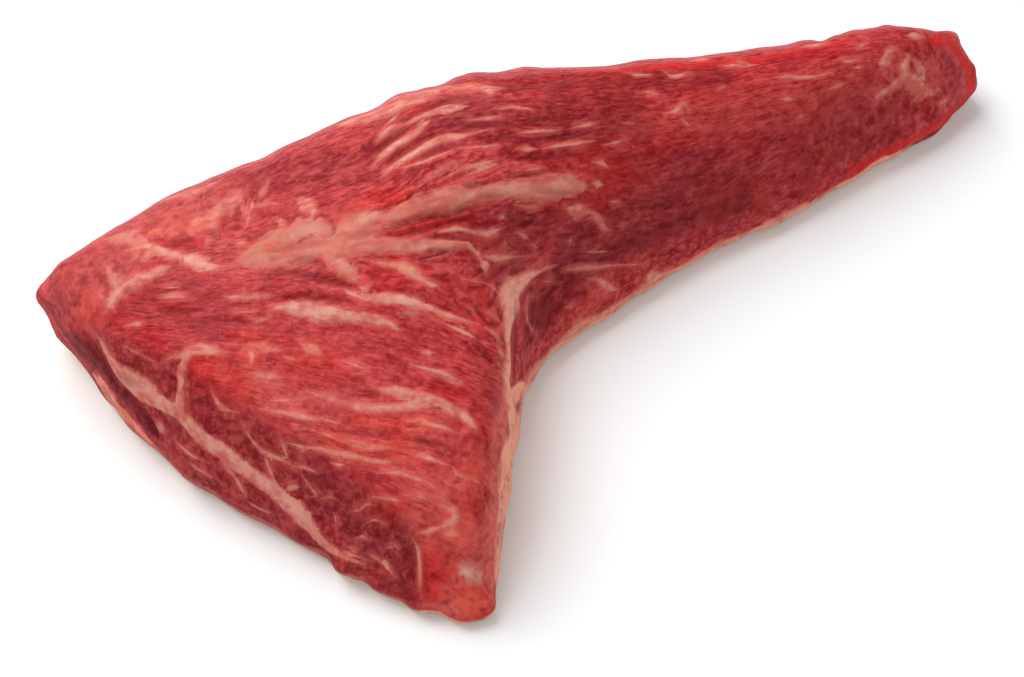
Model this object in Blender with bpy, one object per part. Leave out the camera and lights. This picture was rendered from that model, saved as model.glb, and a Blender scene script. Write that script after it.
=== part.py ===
"""Raw beef tri-tip: one boneless muscle, lying fat side down as it comes off the knife.

Metres, +Z up. The origin is on the resting surface, under the middle of the piece. The long
tapering tail points to +X and +Y, the broad cut face looks to -X and -Y.

The solid is one skin laid over a plan outline. Each stop round the outline says where the edge
of the meat is and how its side is shaped there; a few heights inside it give the swell of the
muscle; furrows press the seams in.
"""

import math
from collections import namedtuple

import bmesh
import bpy
import numpy as np
from mathutils import Vector, noise

MM = 0.001

# ------------------------------------------------------------------ driving dimensions, in mm

# A stop on the outline, seen from above.
#   x, y      where the side stands out furthest
#   height    of the upper face, carried out to the edge
#   shoulder  how far in from the edge the upper face starts to roll over
#   square    how it rolls over: 2 as a quarter of an ellipse, 1 as a straight bevel
#   belly     height at which the side stands out furthest
#   tuck      how far the side draws in from there down to the table
Stop = namedtuple("Stop", "x y height shoulder square belly tuck")

LEFT_CORNER = Stop(-146, 2, 37, 12, 2.2, 20, 10)
BOTTOM_CORNER = Stop(-7, -100, 10, 7, 1.7, 4, 2)
TAIL_FRONT = Stop(139, 82, 19, 11, 1.8, 8, 3)
TAIL_BACK = Stop(146, 106, 28, 11, 2.0, 13, 4)

# The broad face left by the knife, from the left corner to the bottom corner.
CUT_FACE = [
    Stop(-143, -4, 38, 10, 2.2, 20, 10),
    Stop(-136, -12, 39, 9, 2.2, 19, 9),
    Stop(-128, -22, 40, 9, 2.1, 15, 6),
    Stop(-120, -31, 40, 11, 1.9, 12, 4),
    Stop(-107, -44, 39, 15, 1.6, 10, 4),
    Stop(-95, -55, 38, 16, 1.5, 9, 4),
    Stop(-82, -64, 37, 16, 1.5, 8, 4),
    Stop(-69, -72, 35, 17, 1.5, 8, 3),
    Stop(-54, -81, 31, 18, 1.5, 7, 3),
    Stop(-48, -87, 29, 19, 1.5, 7, 3),
    Stop(-33, -95, 23, 18, 1.5, 6, 3),
    Stop(-20, -99, 16, 13, 1.6, 5, 2),
]

# The edge inside the bend, from the bottom corner up the body and out along the tail.
INNER_EDGE = [
    Stop(-5, -92, 16, 7, 1.9, 5, 2),
    Stop(-4, -82, 25, 8, 2.1, 7, 3),
    Stop(-1, -60, 35, 8, 2.2, 8, 4),
    Stop(1, -40, 36, 8, 2.2, 9, 4),
    Stop(4, -27, 32, 10, 2.2, 8, 4),
    Stop(9, -13, 26, 15, 2.0, 7, 4),
    Stop(17, -4, 22, 20, 1.8, 7, 4),
    Stop(28, 5, 20, 23, 1.7, 6, 4),
    Stop(41, 15, 19, 24, 1.7, 6, 4),
    Stop(60, 29, 18, 24, 1.7, 6, 4),
    Stop(81, 41, 18, 22, 1.7, 6, 4),
    Stop(108, 59, 18, 18, 1.7, 6, 4),
    Stop(125, 71, 18, 15, 1.7, 7, 4),
]

# The blunt end of the tail.
TAIL_END = [
    Stop(146, 90, 21, 10, 1.9, 9, 3),
    Stop(152, 98, 25, 10, 2.0, 11, 3),
]

# The far, rounded side, from the tail back to the left corner.
BACK_EDGE = [
    Stop(122, 108, 33, 13, 2.1, 14, 5),
    Stop(104, 103, 36, 15, 2.2, 15, 6),
    Stop(85, 97, 38, 17, 2.2, 15, 6),
    Stop(54, 90, 41, 18, 2.2, 15, 6),
    Stop(27, 85, 43, 20, 2.2, 15, 6),
    Stop(-10, 84, 44, 21, 2.2, 15, 6),
    Stop(-29, 77, 44, 21, 2.2, 15, 6),
    Stop(-52, 65, 43, 21, 2.2, 15, 6),
    Stop(-84, 47, 42, 20, 2.2, 15, 6),
    Stop(-116, 28, 40, 18, 2.2, 16, 7),
    Stop(-135, 12, 38, 14, 2.2, 18, 8),
]

# Heights of the upper face inside the outline: x, y, height.
SWELL = [
    (-118, -2, 46),
    (-90, 12, 52),
    (-90, -24, 49),
    (-55, 28, 56),
    (-60, -20, 53),
    (-60, -52, 43),
    (-30, -50, 45),
    (-32, -78, 33),
    (-12, -84, 29),
    (-18, 5, 54),
    (-12, -40, 46),
    (-10, 45, 56),
    (14, 14, 38),
    (28, 30, 43),
    (28, 52, 51),
    (60, 46, 36),
    (60, 62, 46),
    (62, 74, 46),
    (88, 68, 40),
    (92, 84, 42),
    (112, 82, 37),
    (128, 92, 34),
]

# Seams pressed into the upper face: depth, half width, and the points it runs through.
Furrow = namedtuple("Furrow", "depth half_width path")
FURROWS = [
    Furrow(6.0, 5.0, [(4, 16), (7, 4), (9, -8), (8, -22)]),
    Furrow(1.6, 8.0, [(-92, 16), (-60, 22), (-28, 36), (12, 46)]),
    Furrow(1.2, 5.0, [(-98, -28), (-60, -28), (-28, -42), (-10, -62)]),
]

SWELL_EASE = 40.0  # how far the upper face may pass by the heights given, to stay smooth
SIDE_BLEND = 3.0  # stretch over which the side changes from one stop's shape to the next
LUMP_HEIGHT = 0.9  # rise and fall of the whole skin
LUMP_LENGTH = 26.0
LUMP_FADE = 20.0  # height below which the lumps die out, so that the base stays flat
NICK_DEPTH = 0.6  # uneven strokes of the knife along the outline
NICK_LENGTH = 13.0

# ---------------------------------------------------------------------------- mesh divisions

CENTRE_LINE = 270.0  # mm from the cut face to the end of the tail, round the bend
CELLS_ALONG = 70  # between the end rows
CELLS_ACROSS = 30
EDGE_ROWS = 6  # rows that round the shoulder on each side
EDGE_ROW_REACH = 13.0  # mm in from the outline to the last of them
EDGE_ROW_SHARE = 0.3  # and no more than this share of the width
TUCK_ROWS = 4  # rows from the belly down to the table
OUTLINE_SAMPLES = 720
SPLINE_STEPS = 24  # between two stops

LEAN_RED = (0.36, 0.028, 0.030, 1.0)
WET_ROUGHNESS = 0.38


def clear_scene():
    for thing in list(bpy.data.objects):
        bpy.data.objects.remove(thing)


def spline_through(points, closed, samples):
    """Rows of numbers read from one smooth curve through the given rows, evenly along its length.

    Length is measured on the first two columns. Each stretch is a cubic whose slopes at the
    stops come from both neighbours, so uneven spacing doesn't make it bulge.
    """
    rows = np.array(points, float)
    ring = np.vstack([rows, rows[:1]]) if closed else rows
    steps = np.maximum(np.linalg.norm(np.diff(ring[:, :2], axis=0), axis=1), 1e-6)
    slopes = np.diff(ring, axis=0) / steps[:, None]
    if closed:
        before, after = np.roll(slopes, 1, axis=0), slopes
        step_before, step_after = np.roll(steps, 1), steps
        weighted = before * step_after[:, None] + after * step_before[:, None]
        tangents = weighted / (step_before + step_after)[:, None]
        tangents = np.vstack([tangents, tangents[:1]])
    else:
        inner = slopes[:-1] * steps[1:, None] + slopes[1:] * steps[:-1, None]
        inner = inner / (steps[1:] + steps[:-1])[:, None]
        tangents = np.vstack([slopes[:1], inner, slopes[-1:]])
    t = np.linspace(0, 1, SPLINE_STEPS, endpoint=False)[:, None]
    fine = []
    for i, step in enumerate(steps):
        start, end = ring[i], ring[i + 1]
        pull_start, pull_end = tangents[i] * step, tangents[i + 1] * step
        fine.append(
            (2 * t**3 - 3 * t**2 + 1) * start
            + (t**3 - 2 * t**2 + t) * pull_start
            + (3 * t**2 - 2 * t**3) * end
            + (t**3 - t**2) * pull_end
        )
    fine = np.vstack([*fine, ring[-1:]])
    return evenly(fine, samples)


def evenly(rows, samples):
    """The same curve with its points spread evenly along it."""
    along = np.concatenate([[0], np.cumsum(np.linalg.norm(np.diff(rows[:, :2], axis=0), axis=1))])
    wanted = np.linspace(0, along[-1], samples)
    return np.stack([np.interp(wanted, along, column) for column in rows.T], axis=1)


class Outline:
    """The closed outline, and its four sides between the corners."""

    def __init__(self):
        stops = [
            LEFT_CORNER,
            *CUT_FACE,
            BOTTOM_CORNER,
            *INNER_EDGE,
            TAIL_FRONT,
            *TAIL_END,
            TAIL_BACK,
            *BACK_EDGE,
        ]
        ring = spline_through(stops, True, OUTLINE_SAMPLES)
        ring[:, :2] += self.knife_nicks(ring)
        self.ring = ring
        corners = [self.index_of(c) for c in (LEFT_CORNER, BOTTOM_CORNER, TAIL_FRONT, TAIL_BACK)]
        left, bottom, tail_front, tail_back = corners
        self.cut = evenly(self.between(left, bottom), OUTLINE_SAMPLES)
        self.inner = evenly(self.between(bottom, tail_front), OUTLINE_SAMPLES)
        self.tail = evenly(self.between(tail_front, tail_back)[::-1], OUTLINE_SAMPLES)
        self.back = evenly(self.between(tail_back, left)[::-1], OUTLINE_SAMPLES)

    def knife_nicks(self, ring):
        """Small shifts outwards and inwards along the outline."""
        ahead = np.roll(ring[:, :2], -1, axis=0) - np.roll(ring[:, :2], 1, axis=0)
        outward = np.stack([ahead[:, 1], -ahead[:, 0]], axis=1)
        outward /= np.linalg.norm(outward, axis=1)[:, None]
        size = [noise.noise(Vector((x, y, 7.3)) / NICK_LENGTH) for x, y in ring[:, :2]]
        return outward * (np.array(size) * NICK_DEPTH)[:, None]

    def index_of(self, stop):
        return int(np.argmin(np.hypot(self.ring[:, 0] - stop.x, self.ring[:, 1] - stop.y)))

    def between(self, first, last):
        if last <= first:
            return np.vstack([self.ring[first:-1], self.ring[: last + 1]])
        return self.ring[first : last + 1]

    def side_at(self, side, share):
        places = np.linspace(0, 1, len(side))
        return np.stack([np.interp(share, places, side[:, k]) for k in (0, 1)], axis=-1)

    def place(self, u, v):
        """Plan position for u along the meat (0 cut face, 1 tail) and v across (0 back, 1 front)."""
        u, v = np.broadcast_arrays(np.asarray(u, float), np.asarray(v, float))
        a, b = u[..., None], v[..., None]
        back, inner = self.side_at(self.back, u), self.side_at(self.inner, u)
        cut, tail = self.side_at(self.cut, v), self.side_at(self.tail, v)
        flat_corners = (
            (1 - a) * (1 - b) * self.cut[0, :2]
            + (1 - a) * b * self.cut[-1, :2]
            + a * (1 - b) * self.tail[0, :2]
            + a * b * self.tail[-1, :2]
        )
        return (1 - b) * back + b * inner + (1 - a) * cut + a * tail - flat_corners

    def nearest(self, places):
        """For each plan position, its distance to the outline and the side's numbers there."""
        flat = places.reshape(-1, 2)
        ring = self.ring[:-1]
        gaps = np.hypot(flat[:, None, 0] - ring[None, :, 0], flat[:, None, 1] - ring[None, :, 1])
        found = gaps.argmin(axis=1)
        # The side's shape is shared out among the stretch of outline near the point, not read
        # from one spot, so that it doesn't jump where two sides are equally near.
        weights = np.exp(-((gaps - gaps.min(axis=1)[:, None]) / SIDE_BLEND))
        weights /= weights.sum(axis=1)[:, None]
        shape = weights @ ring[:, 2:]
        distance = self.gap_to_line(flat, found)
        return distance.reshape(places.shape[:-1]), shape.reshape(*places.shape[:-1], -1)

    def gap_to_line(self, flat, found):
        """Distance to the two stretches of outline that meet at the nearest sample."""
        ring = self.ring[:-1, :2]
        best = np.full(len(flat), np.inf)
        for neighbour in (-1, 1):
            start = ring[found]
            run = ring[(found + neighbour) % len(ring)] - start
            share = ((flat - start) * run).sum(axis=1) / (run**2).sum(axis=1)
            foot = start + run * np.clip(share, 0, 1)[:, None]
            best = np.minimum(best, np.linalg.norm(flat - foot, axis=1))
        return best


class Swell:
    """Height of the upper face, bent like a thin plate through the heights given for it."""

    def __init__(self, outline):
        edge = [(s.x, s.y, s.height) for s in (*CUT_FACE, *INNER_EDGE, *TAIL_END, *BACK_EDGE)]
        corners = (LEFT_CORNER, BOTTOM_CORNER, TAIL_FRONT, TAIL_BACK)
        edge += [(s.x, s.y, s.height) for s in corners]
        known = np.array(edge + SWELL, float)
        self.posts, heights = known[:, :2], known[:, 2]
        count = len(known)
        ones = np.column_stack([np.ones(count), self.posts])
        stiff = self.plate(self.posts) + np.eye(count) * SWELL_EASE
        system = np.block([[stiff, ones], [ones.T, np.zeros((3, 3))]])
        self.weights = np.linalg.solve(system, np.concatenate([heights, np.zeros(3)]))

    def plate(self, places):
        gap = np.hypot(
            places[:, None, 0] - self.posts[None, :, 0],
            places[:, None, 1] - self.posts[None, :, 1],
        )
        return gap**2 * np.log(gap + 1e-9)

    def at(self, places):
        flat = places.reshape(-1, 2)
        plain = np.column_stack([np.ones(len(flat)), flat])
        heights = np.column_stack([self.plate(flat), plain]) @ self.weights
        return heights.reshape(places.shape[:-1])


def furrow_depth(places):
    """How far the seams press the upper face in at each plan position."""
    flat = places.reshape(-1, 2)
    total = np.zeros(len(flat))
    for furrow in FURROWS:
        line = spline_through(furrow.path, False, 60)
        gap = np.hypot(flat[:, None, 0] - line[None, :, 0], flat[:, None, 1] - line[None, :, 1])
        near = gap.argmin(axis=1)
        fade = np.sqrt(np.clip(np.sin(math.pi * near / (len(line) - 1)), 0, 1))
        total += furrow.depth * fade * np.exp(-((gap.min(axis=1) / furrow.half_width) ** 2))
    return total.reshape(places.shape[:-1])


def rounded(share, square):
    """Rise of the shoulder: 0 at the edge, where it is steepest, and 1 where it has levelled out."""
    inward = 1 - np.clip(share, 0, 1)
    return (1 - inward**square) ** (1 / square)


def grid_lines(cells, length):
    """Shares of a line of this length in mm: close rows round each shoulder, even ones between."""
    turns = np.linspace(0, math.pi / 2, EDGE_ROWS + 1)
    rows = EDGE_ROW_REACH * (1 - np.cos(turns)) / np.asarray(length, float)[..., None]
    rows = np.minimum(rows, EDGE_ROW_SHARE * (1 - np.cos(turns)))
    spread = np.linspace(0, 1, cells + 1)[1:-1]
    inside = rows[..., -1:] + (1 - 2 * rows[..., -1:]) * spread
    return np.concatenate([rows, inside, 1 - rows[..., ::-1]], axis=-1)


def skin_points():
    """Corner points of the skin: the upper face as a grid, then each row below the belly."""
    outline = Outline()
    swell = Swell(outline)
    along = grid_lines(CELLS_ALONG, CENTRE_LINE)
    width = np.linalg.norm(outline.place(along, 1.0) - outline.place(along, 0.0), axis=-1)
    across = grid_lines(CELLS_ACROSS, width)
    u = np.repeat(along[:, None], across.shape[1], axis=1)
    plan = outline.place(u, across)
    distance, shape = outline.nearest(plan)
    border = np.ones(plan.shape[:2], bool)
    border[1:-1, 1:-1] = False
    distance[border] = 0.0
    shoulder, square, belly, tuck = (shape[..., k] for k in (1, 2, 3, 4))
    top = swell.at(plan) - furrow_depth(plan)
    height = belly + (top - belly) * rounded(distance / shoulder, square)
    upper = np.concatenate([plan, height[..., None]], axis=-1)

    rim = border_loop(u.shape)
    rows = []
    for k in range(1, TUCK_ROWS + 1):
        turn = math.pi / 2 * k / TUCK_ROWS
        inset = tuck * (1 - math.cos(turn))
        drawn_in = outline.place(
            0.5 + (u - 0.5) * (1 - 2 * inset / CENTRE_LINE),
            0.5 + (across - 0.5) * (1 - 2 * inset / width[:, None]),
        )
        level = belly * (1 - math.sin(turn))
        ring = np.concatenate([drawn_in, level[..., None]], axis=-1)
        rows.append(np.array([ring[i, j] for i, j in rim]))
    return upper, rows, rim


def border_loop(shape):
    """Grid indices of the border, once round, counter-clockwise seen from above."""
    last_i, last_j = shape[0] - 1, shape[1] - 1
    loop = [(0, j) for j in range(last_j)]
    loop += [(i, last_j) for i in range(last_i)]
    loop += [(last_i, j) for j in range(last_j, 0, -1)]
    loop += [(i, 0) for i in range(last_i, 0, -1)]
    return loop


def lumps(point):
    """A point moved by the slow, uneven rise and fall of the skin; the base stays flat."""
    lift = min(1.0, point[2] / LUMP_FADE)
    fields = (0, 31, 57)  # far apart in the noise, so that the three directions differ
    drift = [noise.noise(Vector(point) / LUMP_LENGTH + Vector((f, 0, 0))) for f in fields]
    return Vector(point) + Vector(drift) * LUMP_HEIGHT * lift


def build_skin():
    upper, rows, rim = skin_points()
    mesh = bmesh.new()
    grid = [[None] * upper.shape[1] for _ in range(upper.shape[0])]
    for i in range(upper.shape[0]):
        for j in range(upper.shape[1]):
            grid[i][j] = mesh.verts.new(lumps(upper[i, j]))
    for i in range(upper.shape[0] - 1):
        for j in range(upper.shape[1] - 1):
            mesh.faces.new((grid[i][j], grid[i][j + 1], grid[i + 1][j + 1], grid[i + 1][j]))

    above = [grid[i][j] for i, j in rim]
    for row in rows:
        below = [mesh.verts.new(lumps(point)) for point in row]
        for k in range(len(rim)):
            n = (k + 1) % len(rim)
            mesh.faces.new((above[k], below[k], below[n], above[n]))
        above = below
    mesh.faces.new(list(reversed(above)))
    bmesh.ops.recalc_face_normals(mesh, faces=mesh.faces)
    bmesh.ops.triangulate(mesh, faces=[f for f in mesh.faces if len(f.verts) > 4])
    return mesh


def stand_on_origin(mesh):
    """Moves the skin so that the middle of its box is over the origin and it rests on z = 0."""
    low = Vector([min(v.co[k] for v in mesh.verts) for k in range(3)])
    high = Vector([max(v.co[k] for v in mesh.verts) for k in range(3)])
    middle = Vector(((low.x + high.x) / 2, (low.y + high.y) / 2, low.z))
    for vert in mesh.verts:
        vert.co = (vert.co - middle) * MM


def raw_beef():
    material = bpy.data.materials.new("raw_beef")
    material.use_nodes = True
    shader = material.node_tree.nodes["Principled BSDF"]
    shader.inputs["Base Color"].default_value = LEAN_RED
    shader.inputs["Roughness"].default_value = WET_ROUGHNESS
    shader.inputs["Metallic"].default_value = 0.0
    material.diffuse_color = LEAN_RED
    return material


def make_tri_tip():
    skin = build_skin()
    stand_on_origin(skin)
    data = bpy.data.meshes.new("tri_tip")
    skin.to_mesh(data)
    skin.free()
    data.materials.append(raw_beef())
    data.shade_smooth()
    tri_tip = bpy.data.objects.new("tri_tip", data)
    bpy.context.scene.collection.objects.link(tri_tip)
    return tri_tip


clear_scene()
make_tri_tip()
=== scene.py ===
# %% [markdown]
# # A raw beef tri-tip
# A tri-tip is one boneless muscle: a broad, thick body that narrows into a long tail. Its lean
# meat is bundles of fibres, wrapped in thin films and shot through with fat. This lesson dresses
# the plain CAD solid of it: a denser skin, the direction of the grain, the seams of fat drawn
# where they lie, relief from Geometry Nodes, and one wet-meat material that reads all of these.
# The CAD solid is loaded first.

import math
from types import SimpleNamespace

import bmesh
import bpy
import numpy as np
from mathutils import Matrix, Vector, kdtree
from mathutils.bvhtree import BVHTree


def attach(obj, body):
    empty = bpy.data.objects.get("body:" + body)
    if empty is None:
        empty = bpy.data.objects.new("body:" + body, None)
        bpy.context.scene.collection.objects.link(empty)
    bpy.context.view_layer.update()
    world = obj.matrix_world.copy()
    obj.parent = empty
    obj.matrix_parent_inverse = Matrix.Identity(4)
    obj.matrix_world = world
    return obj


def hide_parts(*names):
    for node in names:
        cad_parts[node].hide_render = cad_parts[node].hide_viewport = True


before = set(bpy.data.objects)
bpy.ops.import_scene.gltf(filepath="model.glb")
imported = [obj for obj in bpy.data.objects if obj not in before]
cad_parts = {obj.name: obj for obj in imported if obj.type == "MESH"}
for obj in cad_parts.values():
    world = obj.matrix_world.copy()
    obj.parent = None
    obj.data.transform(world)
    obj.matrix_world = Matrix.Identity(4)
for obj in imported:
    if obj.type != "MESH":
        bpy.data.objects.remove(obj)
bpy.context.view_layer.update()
MM = 0.001


# %% [markdown]
# ## The camera
# The picture looks down at the meat from 55 degrees, through a long lens. The camera is made
# first, because the fat is drawn through it: a place in the picture becomes a ray, and the ray
# meets the skin of the meat at one point. `look_through` turns pixels into such rays.

# %% Camera
PICTURE = (1024, 677)
LENS, SENSOR = 100.0, 36.0
FOCAL = LENS / SENSOR * PICTURE[0]  # in pixels
ELEVATION = math.radians(55)
DISTANCE = 0.8614
AIM = Vector((-0.0033, -0.0169, 0.020))


def put(name, data):
    """A new object in the scene."""
    thing = bpy.data.objects.new(name, data)
    bpy.context.scene.collection.objects.link(thing)
    return thing


camera_data = bpy.data.cameras.new("studio_camera")
camera_data.lens, camera_data.sensor_width = LENS, SENSOR
camera = put("studio_camera", camera_data)
away = Vector((0, -math.cos(ELEVATION), math.sin(ELEVATION)))
camera.location = AIM + away * DISTANCE
camera.rotation_euler = (math.pi / 2 - ELEVATION, 0, 0)
bpy.context.scene.camera = camera


def look_through(x, y):
    """Direction in which the camera sees this pixel."""
    ahead = Vector(((x - PICTURE[0] / 2) / FOCAL, (PICTURE[1] / 2 - y) / FOCAL, -1))
    ahead.rotate(camera.rotation_euler)
    return ahead.normalized()


print("camera at", [round(v, 4) for v in camera.location])

# %% [markdown]
# ## The studio
# A white table that runs out of sight, one broad softbox above and a little behind, and an even
# white surround. The far softbox leaves the faces that look at the camera in mild shade, and
# throws a soft shadow towards the viewer. Colours are shown plainly, with no film look.

# %% Floor, light and surround
FLOOR_HALF = 3.0
FLOOR_WHITE = (0.97, 0.995, 0.995, 1)  # a breath of blue, against the red light from the meat
FLOOR_ROUGHNESS = 0.9
KEY_PLACE, KEY_SIZE, KEY_WATTS = Vector((-0.96, 0.86, 1.70)), 1.7, 43.0
SURROUND = 0.54


def studio_floor():
    data = bpy.data.meshes.new("studio_floor")
    corners = [(-1, -1), (1, -1), (1, 1), (-1, 1)]
    data.from_pydata([(x * FLOOR_HALF, y * FLOOR_HALF, 0) for x, y in corners], [], [(0, 1, 2, 3)])
    paper = bpy.data.materials.new("white_table")
    paper.use_nodes = True
    shader = paper.node_tree.nodes["Principled BSDF"]
    shader.inputs["Base Color"].default_value = FLOOR_WHITE
    shader.inputs["Roughness"].default_value = FLOOR_ROUGHNESS
    shader.inputs["Specular IOR Level"].default_value = 0.0
    data.materials.append(paper)
    put("studio_floor", data)


def softbox():
    data = bpy.data.lights.new("softbox", "AREA")
    data.shape, data.size, data.energy = "SQUARE", KEY_SIZE, KEY_WATTS
    light = put("softbox", data)
    light.location = KEY_PLACE
    light.rotation_euler = (-KEY_PLACE).to_track_quat("-Z", "Y").to_euler()


def surround():
    world = bpy.data.worlds.new("surround")
    world.use_nodes = True
    world.node_tree.nodes["Background"].inputs["Color"].default_value = (1, 1, 1, 1)
    world.node_tree.nodes["Background"].inputs["Strength"].default_value = SURROUND
    bpy.context.scene.world = world


studio_floor()
softbox()
surround()
bpy.context.scene.view_settings.view_transform = "Standard"
print("softbox at", tuple(round(v, 2) for v in KEY_PLACE))

# %% [markdown]
# ## A dense skin
# Fibres and seams need small faces. The CAD solid is copied, merged, and remeshed by voxels,
# which gives even quads everywhere. Each point is put back on the solid and eased a little, and
# one level of Catmull-Clark makes the result smooth. Modifiers do all of this, and the evaluated
# result is kept as a plain mesh.

# %% Dense skin
MERGE_REACH = 0.01 * MM
VOXEL = 0.00202
SMOOTH_ROUNDS, SMOOTH_SHARE = 3, 0.5


def merged_copy(node):
    mesh = bmesh.new()
    mesh.from_mesh(node.data)
    bmesh.ops.remove_doubles(mesh, verts=mesh.verts, dist=MERGE_REACH)
    data = bpy.data.meshes.new("merged_solid")
    mesh.to_mesh(data)
    mesh.free()
    return put("merged_solid", data)


def settled(thing, name):
    """The object's evaluated result as a new plain mesh."""
    graph = bpy.context.evaluated_depsgraph_get()
    data = bpy.data.meshes.new_from_object(thing.evaluated_get(graph))
    data.name = name
    return data


def dense_skin(node):
    solid = merged_copy(node)
    skin = put("skin", solid.data.copy())
    remesh = skin.modifiers.new("even quads", "REMESH")
    remesh.mode, remesh.voxel_size = "VOXEL", VOXEL
    wrap = skin.modifiers.new("back on the solid", "SHRINKWRAP")
    wrap.target, wrap.wrap_method = solid, "NEAREST_SURFACEPOINT"
    ease = skin.modifiers.new("ease", "SMOOTH")
    ease.iterations, ease.factor = SMOOTH_ROUNDS, SMOOTH_SHARE
    rounded = skin.modifiers.new("round off", "SUBSURF")
    rounded.levels = rounded.render_levels = 1
    data = settled(skin, "tri_tip_meat")
    for helper in (skin, solid):
        bpy.data.objects.remove(helper)
    return data


skin_data = dense_skin(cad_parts["tri_tip"])
print("skin:", len(skin_data.vertices), "points,", len(skin_data.polygons), "faces")

# %% [markdown]
# The real outline has small corners and bumps that the plain solid leaves out. Each is a nudge:
# a place in the picture, a shift in pixels, and how far it reaches. It moves the skin level with
# the table, so what lies on the table stays there.

# %% Small corners of the outline
PIXELS_A_MM = 3.2  # in the middle of the picture
NUDGES = [  # x, y, shift right, shift down, reach
    (42, 274, 5, 4, 24), (46, 318, 3, -5, 24), (90, 243, 0, -2, 44), (130, 220, 0, -2, 44),
    (168, 200, 0, -4, 40), (205, 182, 0, -1, 30), (262, 157, 0, 3, 28), (345, 120, 0, -2, 30),
    (398, 98, 0, -5, 24), (440, 83, 0, 3, 18), (498, 68, 0, 5, 30), (650, 61, 0, -3, 50),
    (800, 42, 0, -2, 14), (822, 39, 0, 3, 12), (852, 33, 0, -2, 12), (886, 27, 0, -2, 12),
    (949, 38, 6, -6, 17), (970, 57, -2, 1, 14), (976, 86, 2, 2, 14), (954, 112, -1, 0, 12),
    (552, 356, -1, -4, 30), (590, 330, 0, -5, 36), (632, 303, 0, -5, 36), (672, 277, 0, -6, 36),
    (712, 255, 0, -6, 36), (750, 239, 0, -6, 34), (795, 216, 0, -3, 36), (835, 194, 0, -4, 36),
    (875, 172, 0, -4, 36), (912, 150, 0, -3, 26), (104, 396, -1, 2, 22), (140, 432, -2, 1, 40),
    (190, 475, -2, 2, 44), (245, 512, -2, 1, 44), (300, 543, -1, 1, 40), (342, 567, -3, 3, 16),
    (364, 583, 2, -2, 12), (420, 608, -4, 2, 20), (460, 618, 0, 4, 20), (494, 606, 3, 2, 16),
    (515, 440, 3, 0, 24), (527, 400, -4, 0, 20),
]


def rows_of(elements, label):
    """This vector of every element, as rows of three numbers."""
    flat = np.empty(len(elements) * 3)
    elements.foreach_get(label, flat)
    return flat.reshape(-1, 3)


def in_picture(points):
    """Pixels at which the camera sees these points."""
    turn = np.array(camera.rotation_euler.to_matrix())
    seen = (points - np.array(camera.location)) @ turn
    x = PICTURE[0] / 2 - FOCAL * seen[:, 0] / seen[:, 2]
    y = PICTURE[1] / 2 + FOCAL * seen[:, 1] / seen[:, 2]
    return x, y


def nudge(data):
    points = rows_of(data.vertices, "co")
    x, y = in_picture(points)
    step = MM / PIXELS_A_MM
    for at_x, at_y, right, down, reach in NUDGES:
        near = np.clip(1 - ((x - at_x) ** 2 + (y - at_y) ** 2) / reach**2, 0, 1) ** 2
        points[:, 0] += near * right * step
        points[:, 1] -= near * down * step / math.sin(ELEVATION)
    data.vertices.foreach_set("co", points.ravel())
    data.update()


nudge(skin_data)
print(len(NUDGES), "nudges")

# %% [markdown]
# ## Reading the skin as numbers
# The next steps work on all points at once with numpy, and ask one thing of the skin again and
# again: where does the camera's ray through a pixel meet it? Paths in the picture are given by a
# few stops, and a smooth curve is run through them.

# %% Points, normals and rays
places = rows_of(skin_data.vertices, "co")
normals = rows_of(skin_data.vertex_normals, "vector")
count = len(places)
tree_of_faces = BVHTree.FromPolygons(
    [v.co for v in skin_data.vertices], [tuple(p.vertices) for p in skin_data.polygons]
)


def on_skin(x, y):
    """Where the camera's ray through the pixel meets the meat, or None."""
    return tree_of_faces.ray_cast(camera.location, look_through(x, y))[0]


def smooth_path(stops, steps):
    """Rows of numbers along a smooth curve through the stops, with this many steps a stretch."""
    rows = np.array(stops, float)
    if len(rows) < 3:
        return np.array([rows[0] + (rows[-1] - rows[0]) * k / steps for k in range(steps + 1)])
    ends = np.vstack([2 * rows[0] - rows[1], rows, 2 * rows[-1] - rows[-2]])
    made = []
    for i in range(1, len(ends) - 2):
        a, b, c, d = ends[i - 1 : i + 3]
        for t in np.arange(steps) / steps:
            made.append(
                0.5 * (2 * b + (c - a) * t + (2 * a - 5 * b + 4 * c - d) * t**2
                       + (3 * b - a - 3 * c + d) * t**3)
            )
    return np.array([*made, rows[-1]])


def met_on_skin(path, steps):
    """Each place at which a smooth path meets the meat, with its stop's numbers past x and y."""
    for x, y, *rest in smooth_path(path, steps):
        hit = on_skin(x, y)
        if hit is not None:
            yield hit, rest


print("the picture's middle sees", on_skin(PICTURE[0] / 2, PICTURE[1] / 2))
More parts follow.
